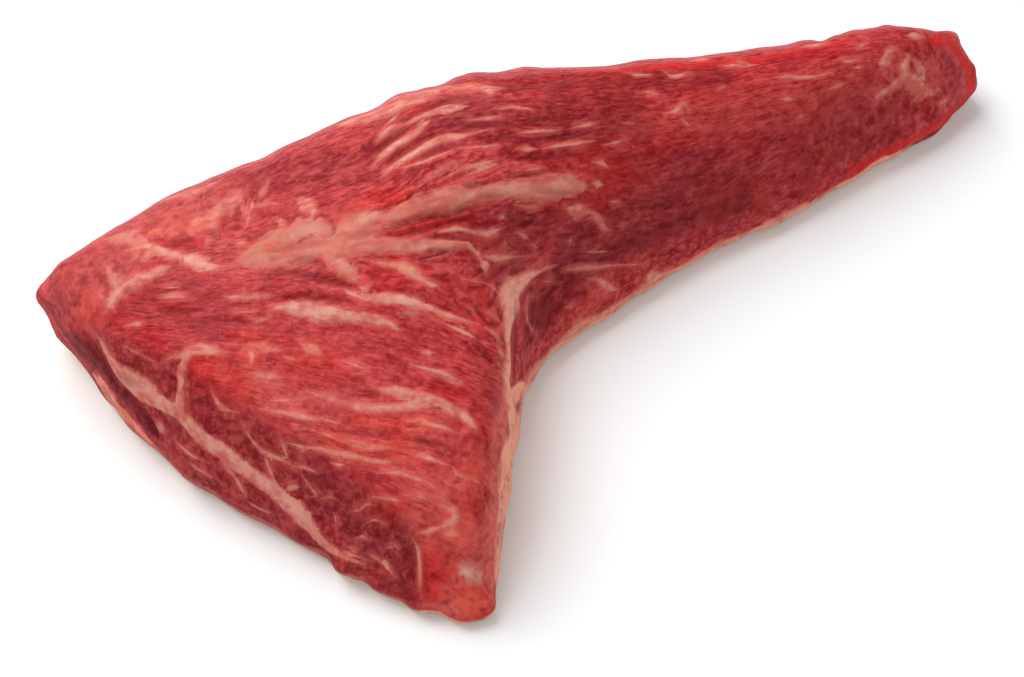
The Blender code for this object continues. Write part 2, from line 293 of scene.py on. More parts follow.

# %% [markdown]
# ## The grain
# In the body the fibres run from the cut face to the right and a little down; a fan of them
# climbs over the top, and all gather into the tail. A few fibres are followed, and each
# gets its distance across the grain. A thin plate bent through those values gives every point
# of the skin its own distance, and its level lines are the fibres. The plate's slope tells where
# they are crowded.

# %% Fibres followed
# millimetres across the grain, then pixels of the picture
FIBRES = [
    (44, [(100, 232), (200, 182), (290, 148), (345, 124), (385, 110), (425, 94), (470, 84),
          (540, 80), (620, 75), (720, 66), (800, 53), (880, 42), (945, 42)]),
    (31, [(150, 226), (230, 194), (310, 166), (378, 140), (415, 120), (440, 110), (466, 105),
          (540, 101), (620, 96), (720, 84), (800, 70), (880, 56), (950, 52)]),
    (24, [(240, 212), (310, 188), (373, 167), (405, 140), (430, 122), (480, 112), (540, 113),
          (620, 109), (720, 98), (800, 82), (890, 66)]),
    (17, [(381, 179), (397, 163), (425, 146), (455, 137), (492, 129), (560, 129), (640, 123),
          (720, 112), (810, 94), (900, 74)]),
    (10, [(310, 212), (400, 190), (435, 174), (465, 160), (520, 148), (580, 144), (640, 141),
          (720, 128), (810, 106), (920, 80)]),
    (0, [(60, 280), (120, 262), (180, 260), (246, 254), (310, 240), (380, 222), (440, 200),
         (500, 189), (578, 183), (640, 174), (720, 152), (800, 125), (880, 102), (950, 85)]),
    (-13, [(150, 285), (210, 278), (262, 274), (320, 262), (352, 250), (400, 249), (440, 245),
           (480, 240), (530, 226), (590, 216), (640, 205), (740, 172), (840, 130), (930, 105)]),
    (-26, [(120, 300), (200, 296), (264, 294), (342, 292), (380, 299), (430, 309), (478, 324),
           (496, 334)]),
    (-26, [(540, 285), (600, 266), (660, 246), (740, 206), (820, 165), (900, 132)]),
    (-40, [(110, 320), (190, 327), (264, 332), (335, 338), (390, 346), (440, 358), (492, 378)]),
    (-66, [(190, 374), (250, 378), (320, 396), (360, 406), (400, 410), (438, 414), (470, 424),
           (500, 446)]),
    (-88, [(250, 424), (288, 443), (335, 453), (398, 463), (440, 476), (475, 494), (497, 516)]),
    (-106, [(320, 470), (375, 492), (430, 513), (460, 530), (488, 556)]),
    (-130, [(390, 540), (430, 562), (480, 600)]),
]
PLATE_EASE = 30.0  # lets the plate pass by the values a little, so that it stays smooth
NO_GAP = 1e-9  # keeps the logarithm finite


def plate(gap):
    return gap**2 * np.log(gap + NO_GAP)


def gaps_between(ones, others):
    return np.hypot(ones[:, None, 0] - others[None, :, 0], ones[:, None, 1] - others[None, :, 1])


def across_the_grain():
    """Millimetres across the grain at every point, and how many of them there are to the mm."""
    posts, values = [], []
    for value, path in FIBRES:
        for x, y in path:
            hit = on_skin(x, y)
            if hit is not None:
                posts.append((hit.x / MM, hit.y / MM))
                values.append(value)
    posts = np.array(posts)
    plain = np.column_stack([np.ones(len(posts)), posts])
    stiff = plate(gaps_between(posts, posts)) + np.eye(len(posts)) * PLATE_EASE
    system = np.block([[stiff, plain], [plain.T, np.zeros((3, 3))]])
    weights = np.linalg.solve(system, np.concatenate([values, np.zeros(3)]))
    plan = places[:, :2] / MM
    gaps = gaps_between(plan, posts)
    across = plate(gaps) @ weights[:-3] + np.column_stack([np.ones(count), plan]) @ weights[-3:]
    pull = (2 * np.log(gaps + NO_GAP) + 1) * weights[:-3]
    slope = [pull.sum(1) * plan[:, k] - pull @ posts[:, k] + weights[k - 2] for k in (0, 1)]
    return across, np.hypot(*slope)


across, crowding = across_the_grain()
print("across the grain, mm:", round(across.min()), "to", round(across.max()),
      "and at most", round(crowding.max(), 1), "to the mm")

# %% [markdown]
# ## The sides
# Seen from above, a steep side is only a line, so the grain from above would smear down it. On
# the sides the noise is read at the place itself instead. Rays from all round find the outline,
# which gives each point two numbers: how far round the meat it is, and how far in.

# %% Round the meat
MIDDLE = Vector((-0.020, 0.010, 0.012))  # a point from which the whole outline can be seen
OUTLINE_RAYS = 1440


def outline_ring():
    """Places all round the outline, in millimetres."""
    ring = []
    for k in range(OUTLINE_RAYS):
        turn = 2 * math.pi * k / OUTLINE_RAYS
        ahead = Vector((math.cos(turn), math.sin(turn), 0))
        hit = tree_of_faces.ray_cast(MIDDLE + ahead, -ahead)[0]
        ring.append((hit.x / MM, hit.y / MM))
    return np.array(ring)


ring = outline_ring()
ring_steps = np.linalg.norm(np.diff(np.vstack([ring, ring[:1]]), axis=0), axis=1)
ring_length = np.concatenate([[0], np.cumsum(ring_steps)[:-1]])
ring_finder = kdtree.KDTree(len(ring))
for k, (x, y) in enumerate(ring):
    ring_finder.insert((x, y, 0), k)
ring_finder.balance()


def round_and_in(points):
    """For points in metres: millimetres round the outline, and in from it."""
    found = [ring_finder.find((p[0] / MM, p[1] / MM, 0)) for p in points]
    return ring_length[[f[1] for f in found]], np.array([f[2] for f in found])


around, inward = round_and_in(places)
print("outline", round(ring_length[-1]), "mm round")

# %% [markdown]
# Each point then gets its share of the cut face, of a side, of the underside, and of the strip
# of fat that shows where a side turns under. The top edge of the cut face is drawn as the
# picture shows it, and everything between that line and the table belongs to the face. Beside
# the bend the strip of fat climbs all the way up.

# %% Face, sides and strip of fat
FACE_EDGE = [(52, 300), (76, 323), (110, 338), (138, 354), (181, 359), (190, 369), (230, 397),
             (285, 434), (321, 452), (400, 510), (412, 524), (420, 545), (426, 575), (429, 604)]
FACE_STEPS = 5
FACE_SOFT = 2.2  # mm on either side of the edge
NO_FACE = -10  # mm in from the outline, where there is no cut face
WALL_REACH, WALL_SOFT = 5.0, (-2.0, 3.0)  # mm in from the outline at which a side becomes the top
STEEP, STEEP_SOFT = 0.75, 0.5  # the normal of a side points up by less than this
UNDER = (0.1, 0.75)  # and that of the underside points down by this
RIM_SLOPE, RIM_SLOPE_SOFT = 0.10, 0.3  # the same for the strip of fat
RIM_HEIGHT, RIM_HEIGHT_SOFT = 13.0, 4.0  # mm: its height
WALL_SLOPE, WALL_HEIGHT = 0.3, 30  # what the high wall adds to both
BARE_END = (122, 133)  # mm along: past here the tail shows no such fat
FAT_WALL = [  # the high wall: pixels, reach in mm, and share of the whole wall
    (534, 378, 4, 0.0), (525, 392, 4, 0.15), (520, 405, 4, 0.4), (518, 418, 4, 0.7),
    (515, 436, 4, 0.9), (512, 455, 4, 1), (508, 480, 4.5, 1), (504, 510, 4.5, 1),
    (500, 545, 4, 1), (497, 575, 3, 1),
]
WALL_STEPS, WALL_CORE = 3, 0.5  # and the part of its reach that it fills whole


def eased(value, low, high):
    t = np.clip((value - low) / (high - low), 0, 1)
    return t * t * (3 - 2 * t)


def cut_face():
    """How far in from the outline the cut face reaches, at every point."""
    edge_around, edge_inward = round_and_in([hit for hit, _ in met_on_skin(FACE_EDGE, FACE_STEPS)])
    order = np.argsort(edge_around)
    return np.interp(around, edge_around[order], edge_inward[order], left=NO_FACE, right=NO_FACE)


def high_wall():
    """The share of the high wall of fat, at every point."""
    total = np.zeros(count)
    for hit, (reach, share) in met_on_skin(FAT_WALL, WALL_STEPS):
        gap = np.linalg.norm((places - np.array(hit))[:, :2], axis=1) / MM
        total = np.maximum(total, share * (1 - eased(gap / reach, WALL_CORE, 1)))
    return total


height, upward = places[:, 2] / MM, normals[:, 2]
face_reach, fat_wall = cut_face(), high_wall()
on_face = eased(face_reach - inward, -FACE_SOFT, FACE_SOFT) * (face_reach > 0)
on_side = eased(WALL_REACH - inward, *WALL_SOFT) * eased(STEEP - upward, 0, STEEP_SOFT)
beneath = eased(-upward, *UNDER)
rim = eased(RIM_SLOPE + WALL_SLOPE * fat_wall - upward, 0, RIM_SLOPE_SOFT)
rim *= eased(RIM_HEIGHT + WALL_HEIGHT * fat_wall - height, 0, RIM_HEIGHT_SOFT)
rim *= 1 - eased(places[:, 0] / MM, *BARE_END)
print("cut face on", int((on_face > 0.5).sum()), "points")

# %% [markdown]
# ## The marbling, drawn as paths
# Fat lies in the meat in broad wandering seams and in fine threads along the grain. Chance can
# make fine flecks, but not these: they are the face of this one cut, so each is drawn as a short
# path, followed on the picture. A stop is (x, y, width), in pixels. Wide fat is drawn as
# several strands side by side.

# %% Seams and patches of fat
MAIN_SEAM = [  # across the middle: the lobes of its left end, the band, and the lower branch
    [(236, 262, 4), (246, 258, 10), (258, 252, 16), (268, 246, 18), (278, 240, 20), (288, 234, 20),
     (298, 230, 22), (310, 229, 22), (322, 230, 20), (330, 232, 14)],
    [(338, 232, 14), (348, 227, 20), (360, 224, 20), (372, 219, 18), (382, 214, 14)],
    [(246, 264, 8), (262, 261, 14), (280, 257, 17), (300, 253, 18), (322, 250, 19), (342, 248, 20),
     (360, 245, 18), (376, 245, 15), (392, 246, 12), (410, 246, 11), (426, 245, 11), (442, 245, 10),
     (458, 244, 9), (470, 245, 6)],
    [(310, 241, 14), (330, 242, 14), (350, 238, 14), (368, 233, 12), (378, 229, 8)],
    [(384, 222, 8), (394, 217, 14), (404, 212, 15), (414, 208, 17), (424, 206, 19), (436, 203, 20),
     (448, 199, 21), (460, 196, 20), (470, 194, 16), (480, 194, 13), (492, 192, 13), (504, 190, 15),
     (518, 189, 17), (532, 189, 19), (546, 188, 21), (560, 187, 22), (572, 187, 21),
     (582, 186, 13)],
    [(325, 256, 8), (334, 262, 14), (344, 268, 15), (352, 274, 12), (358, 279, 6)],
]
SEAMS = [
    [(301, 200, 8), (308, 205, 14), (314, 211, 9)],
    [(281, 222, 7), (284, 225, 8)],
    # the lens below it, and the orange seam
    [(276, 309, 6), (290, 308, 11), (302, 307, 15), (315, 311, 19), (330, 314, 14), (345, 316, 11),
     (360, 318, 9), (375, 320, 9), (390, 326, 10)],
    [(362, 298, 6), (380, 298, 8), (400, 299, 9), (415, 303, 9), (430, 309, 8)],
    [(392, 265, 7), (405, 268, 10), (413, 273, 10), (422, 280, 7)],
    [(182, 257, 7), (192, 261, 13), (206, 266, 12), (218, 269, 6)],
    [(454, 510, 8), (455, 520, 8), (445, 526, 7)],
    [(568, 208, 4), (577, 212, 13), (588, 211, 8)],
    [(461, 573, 8), (466, 567, 14), (471, 572, 18), (476, 578, 16), (480, 583, 8)],
    # top fan
    [(345, 124, 8), (365, 118, 8), (385, 112, 8), (405, 104, 8), (425, 95, 7), (445, 88, 6)],
    [(388, 131, 9), (400, 126, 6)],
    [(440, 110, 8), (455, 108, 8)],
    # end of the tail
    [(892, 48, 5), (889, 56, 9), (883, 64, 9)],
    [(908, 56, 6), (905, 67, 9), (907, 77, 10), (915, 84, 14), (924, 90, 13), (932, 94, 5)],
    [(912, 60, 5), (920, 68, 6), (922, 78, 8)],
    [(905, 78, 8), (896, 84, 7), (886, 90, 5), (877, 96, 4)],
]
VALLEY_SEAM = [  # between body and tail
    [(541, 271, 4), (533, 274, 6), (525, 279, 8), (518, 285, 10), (513, 291, 14), (511, 299, 15),
     (510, 309, 13), (508, 320, 7), (507, 335, 5), (508, 350, 4), (508, 362, 5), (506, 374, 7),
     (507, 388, 8), (510, 402, 9), (513, 416, 9), (514, 430, 8)],
]
PATCHES = [  # soft pale places where fat lies just under the lean
    [(104, 262, 6), (112, 276, 9), (120, 288, 16), (112, 299, 9), (102, 310, 6)],
    [(96, 292, 4), (108, 302, 6), (116, 314, 4)],
    [(120, 288, 16), (132, 283, 13), (148, 277, 9), (162, 269, 7), (172, 266, 5)],
    [(103, 240, 4), (118, 238, 8), (132, 238, 13), (142, 243, 12), (150, 248, 5)],
    [(139, 262, 5), (146, 255, 7), (158, 253, 8), (170, 256, 8), (182, 260, 8)],
    [(128, 262, 5), (140, 258, 8), (152, 262, 6)], [(150, 205, 10), (180, 196, 12), (215, 184, 10)],
    [(170, 235, 8), (200, 222, 10), (225, 205, 10), (240, 190, 8)],
    [(345, 118, 8), (375, 104, 10), (405, 96, 10), (430, 90, 8)],
    [(150, 232, 8), (172, 232, 12), (196, 226, 12), (212, 226, 8)],
    [(158, 296, 3), (175, 295, 4), (191, 298, 3)],
    [(187, 350, 7), (200, 348, 9), (215, 348, 8), (222, 352, 5)],
    [(225, 300, 6), (250, 297, 8), (275, 296, 6)], [(340, 440, 6), (365, 446, 8), (392, 448, 6)],
    [(230, 345, 5), (262, 348, 8), (285, 352, 6)], [(404, 495, 6), (430, 498, 8), (450, 500, 6)],
    [(441, 527, 7), (450, 531, 9), (460, 536, 7)], [(301, 343, 7), (313, 350, 11), (323, 355, 9)],
    [(154, 420, 5), (160, 427, 8), (165, 434, 5)],
]
FACE_SEAM = [  # down the cut face
    [(96, 334, 2), (102, 343, 3), (108, 355, 5), (114, 366, 9), (123, 377, 14), (134, 384, 18),
     (146, 391, 19), (156, 399, 15), (166, 405, 11), (178, 412, 10), (187, 421, 11), (197, 432, 12),
     (207, 441, 13), (218, 449, 15), (232, 460, 15), (250, 473, 13), (265, 484, 13),
     (280, 494, 16), (292, 504, 17), (303, 517, 15), (312, 529, 10), (322, 541, 8),
     (333, 550, 6), (348, 559, 5)],
    [(181, 412, 9), (180, 400, 8), (180, 388, 7), (181, 376, 7), (183, 366, 7), (187, 357, 8)],
    [(289, 489, 7), (297, 486, 5)],
    [(384, 559, 5), (388, 568, 5)],
]
RIM_FAT = [  # where the sides turn under
    [(517, 430, 6), (519, 415, 7), (522, 400, 7), (526, 386, 8), (532, 374, 10), (541, 362, 11),
     (550, 352, 12), (561, 342, 12), (572, 333, 11), (584, 325, 8), (597, 318, 5), (610, 310, 4),
     (624, 301, 4), (638, 292, 5), (650, 283, 7), (660, 276, 5), (672, 271, 3), (690, 261, 3)],
    [(690, 260, 3), (714, 247, 5), (733, 239, 7), (752, 231, 6), (772, 222, 5), (791, 213, 5),
     (810, 203, 5), (829, 191, 4), (850, 180, 4), (868, 170, 3), (890, 160, 3), (915, 147, 3),
     (934, 137, 2)],
    [(648, 282, 5), (652, 274, 5), (660, 274, 4)],
    [(518, 420, 6), (515, 440, 7), (512, 460, 8), (509, 480, 8), (507, 500, 8), (504, 520, 8),
     (501, 545, 7), (499, 565, 6), (496, 590, 4)],
    [(96, 377, 6), (103, 388, 12), (110, 399, 17), (118, 409, 18), (127, 418, 14), (138, 429, 9),
     (150, 441, 5)],
    [(101, 380, 7), (107, 390, 9), (113, 400, 11), (120, 409, 10), (128, 418, 7)],
]
wide_fat = (MAIN_SEAM, SEAMS, VALLEY_SEAM, PATCHES, FACE_SEAM, RIM_FAT)
print(sum(len(paths) for paths in wide_fat), "strands of wide fat")

# %% [markdown]
# Threads are the thin fat between the bundles. They taper to points. On the top they lie along
# the grain, and on the cut face they run every way. Films of thin skin are drawn in the same
# way, and stay half clear.

# %% Threads and films
THREADS = [
    # round the middle seam
    [(460, 244, 8), (470, 246, 5), (478, 254, 4), (482, 261, 5), (485, 266, 8), (486, 272, 4)],
    [(480, 256, 5), (495, 258, 6), (510, 257, 4), (528, 256, 2)],
    [(440, 232, 4), (455, 229, 5), (470, 231, 4), (485, 234, 5), (493, 232, 7), (498, 230, 6)],
    [(388, 226, 4), (400, 225, 3)], [(500, 218, 4), (504, 215, 6)], [(312, 216, 4), (314, 211, 6)],
    [(285, 227, 6), (279, 222, 4)], [(592, 183, 4), (598, 184, 7), (603, 185, 5)],
    [(588, 190, 3), (594, 191, 3)],
    [(264, 311, 2), (280, 309, 6)], [(390, 325, 8), (400, 330, 3)],
    [(342, 288, 2), (350, 293, 5), (362, 298, 6)],
    [(430, 309, 8), (445, 315, 5), (460, 319, 4), (478, 324, 2)],
    [(358, 286, 3), (366, 289, 7), (371, 284, 4)],
    [(375, 263, 3), (392, 265, 7)], [(422, 280, 7), (432, 285, 5), (438, 286, 2)],
    [(350, 276, 8), (356, 282, 4)],
    # lower body
    [(372, 389, 4), (395, 391, 9), (411, 395, 9), (427, 399, 9), (442, 405, 10), (456, 412, 9),
     (466, 418, 8), (473, 425, 5), (479, 431, 2)],
    [(308, 392, 3), (325, 397, 5), (340, 402, 5), (360, 407, 8), (380, 409, 8), (400, 407, 7),
     (420, 405, 7), (438, 406, 6)],
    [(288, 443, 3), (305, 447, 3), (320, 449, 4), (335, 453, 5), (350, 455, 6), (358, 457, 4),
     (370, 460, 4), (385, 462, 4), (398, 463, 2)],
    [(262, 409, 4), (280, 412, 4), (295, 415, 6), (310, 418, 4), (325, 420, 3), (340, 424, 2)],
    [(270, 401, 2), (290, 400, 3), (310, 399, 2)], [(322, 433, 3), (330, 436, 3), (336, 439, 2)],
    [(332, 463, 4), (340, 465, 3), (346, 464, 2)],
    [(410, 455, 3), (425, 457, 5), (435, 461, 4), (448, 465, 3)],
    [(454, 469, 5), (457, 474, 4), (466, 478, 3), (476, 481, 3), (482, 486, 2)],
    [(380, 473, 4), (398, 473, 5), (412, 478, 3), (425, 481, 4), (434, 487, 4)],
    [(375, 497, 4), (392, 499, 4), (403, 502, 2)], [(440, 505, 3), (454, 510, 8)],
    [(445, 526, 6), (430, 531, 5), (420, 533, 3)], [(448, 535, 5), (460, 535, 4)],
    [(445, 324, 3), (458, 330, 4), (470, 336, 3), (476, 339, 2)], [(424, 353, 6), (432, 353, 6)],
    [(412, 365, 3), (430, 370, 4), (445, 374, 4), (458, 379, 2)],
    [(410, 421, 5), (421, 421, 6), (432, 425, 4), (445, 428, 4), (456, 432, 3)],
    [(249, 374, 5), (262, 375, 8), (283, 378, 4)], [(345, 362, 2), (355, 365, 3), (364, 369, 2)],
    # left of the body
    [(248, 350, 5), (252, 356, 5), (251, 364, 3)],
    [(174, 359, 3), (185, 354, 8), (197, 350, 7), (212, 351, 7), (228, 353, 2)],
    [(125, 326, 3), (138, 324, 4), (143, 322, 2)],
    [(105, 312, 4), (113, 300, 4), (121, 289, 5), (134, 282, 5), (150, 277, 4), (164, 268, 3)],
    [(200, 265, 7), (212, 268, 5), (225, 266, 3)],
    [(128, 250, 4), (150, 246, 5), (165, 252, 6), (178, 256, 6), (181, 262, 3)],
    [(238, 244, 3), (248, 242, 3)], [(230, 297, 4), (242, 296, 3)],
    [(158, 298, 2), (175, 297, 3), (190, 298, 2)], [(165, 288, 2), (180, 287, 2)],
    [(235, 312, 2), (250, 312, 2), (264, 311, 2)], [(252, 323, 4), (262, 320, 3), (270, 318, 2)],
    [(285, 357, 4), (297, 361, 3)], [(246, 226, 2), (249, 217, 3), (252, 208, 3), (251, 199, 2)],
    # top fan
    [(445, 88, 6), (470, 86, 5), (498, 88, 3)],
    [(378, 140, 5), (388, 131, 8)],
    [(400, 126, 6), (415, 120, 4), (428, 114, 5), (440, 110, 8)], [(455, 108, 8), (466, 106, 4)],
    [(385, 127, 3), (395, 116, 4), (403, 109, 4)],
    [(373, 167, 4), (382, 155, 6), (393, 146, 6), (405, 140, 5), (417, 132, 5), (425, 124, 5),
     (430, 120, 2)],
    [(381, 179, 4), (388, 170, 5), (397, 163, 4), (410, 155, 5), (425, 146, 6), (440, 139, 7),
     (455, 137, 6), (470, 134, 3), (492, 128, 2)],
    [(400, 168, 2), (420, 163, 3), (438, 156, 3), (452, 150, 2)],
    [(445, 178, 4), (460, 170, 5), (480, 164, 4), (496, 160, 2)],
    [(465, 176, 2), (485, 168, 3), (502, 163, 2)], [(484, 91, 6), (496, 91, 6)],
    [(500, 109, 3), (515, 107, 3), (532, 110, 3)], [(468, 120, 2), (490, 118, 3), (500, 115, 2)],
    [(460, 148, 2), (480, 147, 2), (496, 145, 3)], [(520, 133, 2), (540, 131, 3), (560, 130, 2)],
    [(575, 127, 3), (588, 125, 4), (597, 124, 3)], [(518, 149, 5), (528, 149, 6), (536, 149, 3)],
    [(545, 148, 2), (555, 146, 3), (568, 144, 4), (580, 143, 4), (593, 141, 3)],
    [(605, 145, 2), (618, 142, 2), (626, 141, 1)], [(525, 170, 2), (545, 168, 2)],
    [(515, 205, 3), (530, 207, 4), (541, 205, 2)], [(594, 162, 3), (602, 163, 5), (608, 168, 3)],
    # tail
    [(626, 73, 3), (638, 75, 3), (650, 75, 2)],
    [(664, 72, 3), (672, 77, 4), (678, 76, 4), (689, 72, 2)],
    [(645, 92, 3), (657, 94, 3)], [(665, 113, 3), (675, 111, 4), (683, 104, 5), (688, 108, 4)],
    [(684, 121, 4), (689, 126, 2)], [(717, 90, 3), (724, 86, 4)], [(624, 123, 2), (632, 123, 3)],
    [(610, 202, 3), (620, 202, 2)], [(588, 211, 7), (595, 215, 6), (600, 222, 6), (604, 228, 6),
     (609, 230, 3)],
    [(620, 223, 3), (626, 223, 2)], [(571, 238, 2), (570, 243, 3)],
    [(583, 252, 1), (600, 252, 2), (612, 251, 1)],
    [(563, 270, 2), (578, 269, 4), (588, 267, 5), (597, 267, 3), (612, 265, 2), (628, 265, 2),
     (643, 264, 2)],
    [(588, 278, 3), (598, 280, 5), (605, 285, 7), (612, 289, 5), (617, 289, 2)],
    [(776, 78, 2), (788, 77, 4), (800, 77, 4), (812, 77, 3), (825, 74, 2), (834, 72, 1)],
    [(838, 61, 2), (850, 61, 3), (861, 58, 2)], [(855, 68, 3), (862, 67, 2)],
    [(865, 44, 2), (858, 48, 2)],
    [(781, 99, 3), (788, 99, 4), (793, 99, 2)], [(830, 89, 3), (838, 86, 4), (845, 83, 2)],
    [(798, 117, 3), (804, 115, 2)], [(891, 46, 4), (896, 50, 3), (900, 54, 2)],
    [(912, 102, 3), (918, 96, 5)],
    [(939, 104, 3), (948, 99, 2)], [(935, 91, 3), (940, 88, 2)],
    [(908, 36, 3), (915, 36, 6), (924, 37, 3)], [(800, 48, 3), (812, 46, 3), (827, 43, 2)],
    [(720, 66, 2), (740, 66, 3), (756, 65, 2)], [(735, 62, 4), (746, 62, 4)],
    [(690, 61, 3), (712, 59, 3)],
]
FACE_THREADS = [
    [(122, 345, 2), (132, 350, 3), (142, 355, 3), (156, 362, 2)],
    [(164, 361, 2), (172, 357, 3), (179, 353, 2)],
    [(175, 440, 3), (183, 448, 3), (192, 455, 3), (205, 462, 2)],
    [(186, 462, 2), (195, 466, 2), (205, 473, 3), (218, 480, 2)],
    [(222, 463, 3), (228, 470, 4), (236, 478, 4), (242, 490, 3), (248, 498, 2)],
    [(246, 500, 3), (258, 508, 3), (272, 514, 2)],
    [(211, 388, 3), (215, 398, 4), (222, 407, 7), (228, 410, 4), (240, 413, 2)],
    [(242, 423, 3), (250, 437, 3), (258, 447, 4), (265, 453, 5), (272, 456, 5), (283, 460, 4),
     (292, 466, 3), (302, 467, 4), (312, 470, 3), (318, 473, 2)],
    [(281, 440, 4), (284, 448, 3), (287, 456, 3), (291, 464, 3)],
    [(264, 455, 3), (268, 464, 4), (272, 474, 4), (276, 483, 4)],
    [(300, 471, 3), (307, 482, 3), (313, 490, 3), (316, 496, 3), (305, 496, 3)],
    [(352, 511, 2), (360, 510, 3), (367, 504, 3), (374, 505, 2)],
    [(340, 552, 3), (350, 554, 3), (366, 560, 2)],
    [(346, 547, 2), (360, 549, 2)], [(350, 540, 2), (362, 536, 3), (368, 540, 2)],
    [(364, 524, 2), (374, 520, 3), (382, 522, 2)], [(380, 560, 3), (388, 568, 3), (396, 578, 2)],
    [(367, 553, 2), (376, 556, 2)], [(394, 540, 2), (398, 550, 2)], [(334, 512, 2), (336, 524, 2)],
    [(318, 500, 2), (330, 497, 3), (340, 500, 2)], [(300, 452, 2), (308, 449, 2)],
    [(411, 536, 3), (417, 546, 4), (419, 557, 5), (420, 570, 5), (420, 585, 4), (421, 596, 3)],
    [(388, 548, 4), (395, 546, 6)], [(365, 553, 3), (375, 558, 3), (386, 566, 3)],
    [(348, 559, 4), (362, 564, 3)],
]
VALLEY_THREADS = [
    [(556, 265, 3), (550, 267, 5), (544, 269, 6), (537, 273, 6)],
    [(483, 283, 3), (492, 287, 4), (499, 293, 5)], [(484, 311, 4), (494, 316, 4), (501, 324, 4)],
    [(487, 328, 5), (495, 335, 5), (503, 344, 5)], [(497, 347, 3), (505, 358, 4)],
    [(496, 361, 2), (503, 371, 3)], [(527, 302, 3), (527, 318, 3), (531, 328, 2), (537, 335, 2)],
    [(540, 282, 2), (556, 281, 2)], [(526, 297, 2), (537, 296, 2)], [(566, 308, 3), (572, 306, 2)],
    [(516, 232, 3), (524, 236, 5), (530, 241, 2)], [(530, 243, 2), (538, 248, 2)],
    [(503, 240, 2), (509, 246, 2)],
    [(412, 263, 2), (430, 258, 3), (443, 256, 2)], [(460, 279, 2), (475, 281, 2), (490, 284, 3)],
]
FILMS = [  # thin skin over the meat, half seen through
    [(258, 202, 4), (263, 192, 6), (269, 180, 4)], [(256, 207, 4), (268, 203, 5), (282, 205, 3)],
    [(217, 232, 4), (214, 223, 7), (218, 214, 5)], [(231, 215, 4), (234, 205, 6), (231, 196, 4)],
    [(243, 212, 4), (242, 202, 6), (240, 192, 4)], [(248, 224, 5), (251, 213, 7), (253, 203, 6)],
    [(403, 314, 10), (415, 311, 10), (424, 313, 5)], [(440, 376, 6), (455, 382, 6), (466, 386, 5)],
    [(205, 246, 5), (208, 240, 6), (214, 238, 6), (222, 245, 5)],
    [(420, 181, 3), (435, 174, 6), (450, 165, 6), (465, 159, 3)],
]
print(len(THREADS) + len(FACE_THREADS) + len(VALLEY_THREADS), "threads")

# %% [markdown]
# Between the bundles the meat also folds in, and those creases get painted shade. The widest
# fat has soft furrows of its own, with painted shade in them too.

# %% Creases
# creases between the bundles: they sink, and take painted shade
CREASES = [
    [(222, 232, 4), (224, 222, 5), (226, 212, 3)], [(238, 222, 6), (239, 212, 6), (237, 202, 3)],
    [(246, 206, 3), (246, 196, 3)], [(158, 245, 4), (172, 244, 7), (186, 242, 6), (197, 240, 6)],
    [(249, 240, 7), (258, 236, 6), (266, 232, 4)], [(226, 229, 7), (236, 227, 8), (245, 229, 5)],
    [(208, 190, 4), (213, 189, 4)], [(220, 190, 4), (224, 188, 4)], [(200, 199, 3), (202, 192, 3)],
    [(179, 206, 3), (183, 201, 3)], [(257, 196, 4), (252, 189, 3)],
    [(262, 215, 4), (274, 213, 4), (286, 214, 3)],
    [(208, 232, 3), (216, 238, 4), (224, 240, 2)], [(245, 240, 3), (255, 238, 4), (262, 234, 2)],
    [(265, 213, 4), (282, 216, 3)], [(345, 256, 3), (352, 265, 3), (359, 279, 3)],
    [(298, 218, 3), (308, 216, 3)],
    [(262, 275, 5), (290, 272, 8), (320, 278, 10), (340, 284, 8), (360, 288, 4)],
    [(228, 339, 2), (245, 341, 3), (262, 339, 3), (268, 336, 2)],
    [(285, 332, 3), (298, 328, 3), (305, 331, 2)], [(320, 368, 3), (335, 368, 2), (345, 365, 2)],
    [(262, 361, 3), (275, 360, 2)], [(500, 177, 2), (520, 176, 3), (540, 173, 3), (575, 172, 2)],
    [(421, 192, 3), (435, 186, 3), (450, 183, 2)], [(460, 183, 6), (470, 187, 6), (480, 184, 3)],
    [(400, 203, 3), (410, 196, 4), (416, 188, 3)], [(470, 240, 3), (476, 248, 4), (480, 252, 2)],
    [(412, 262, 4), (430, 257, 3), (445, 252, 4), (456, 250, 3)],
    [(384, 230, 4), (398, 225, 7), (414, 220, 8), (430, 217, 8), (446, 214, 8), (462, 210, 7),
     (480, 205, 6)],
    [(383, 236, 5), (396, 234, 8), (412, 232, 8), (430, 228, 7), (445, 224, 8), (462, 220, 8),
     (482, 218, 6)],
    [(420, 238, 5), (450, 238, 5), (476, 240, 4)],
    [(330, 218, 3), (333, 224, 4), (334, 232, 4), (328, 238, 3)],
    [(378, 206, 3), (384, 212, 4), (392, 208, 3)],
    [(262, 240, 3), (270, 236, 3)], [(290, 264, 4), (318, 262, 5), (330, 268, 3)],
    [(505, 215, 6), (515, 220, 8), (530, 223, 6), (548, 226, 5)],
    [(503, 238, 3), (512, 246, 3), (525, 250, 2)], [(420, 300, 2), (432, 306, 2)],
    [(402, 425, 3), (415, 427, 3), (421, 426, 2)], [(412, 448, 4), (418, 449, 4), (430, 452, 2)],
    [(455, 482, 4), (461, 482, 4)], [(448, 498, 3), (456, 503, 4), (454, 508, 2)],
    [(415, 502, 2), (428, 506, 4)], [(420, 527, 3), (438, 524, 3)],
    [(482, 486, 2), (488, 500, 3), (492, 515, 2)], [(350, 396, 4), (370, 396, 5), (383, 401, 3)],
    [(84, 333, 8), (98, 352, 9), (107, 366, 7), (118, 381, 5), (133, 399, 5), (146, 414, 5),
     (155, 430, 5), (158, 440, 3)],
    [(95, 330, 4), (104, 345, 4)], [(170, 375, 8), (176, 382, 6), (174, 398, 6)],
    [(305, 540, 4), (318, 550, 4), (330, 558, 5), (343, 566, 5)],
    [(408, 545, 8), (412, 560, 9), (412, 578, 8)], [(483, 578, 3), (487, 586, 4), (490, 594, 3)],
    [(456, 585, 5), (459, 577, 2)], [(440, 605, 4), (452, 600, 7)], [(480, 610, 6), (487, 610, 6)],
    [(440, 555, 2), (453, 553, 2), (463, 557, 2)],
]
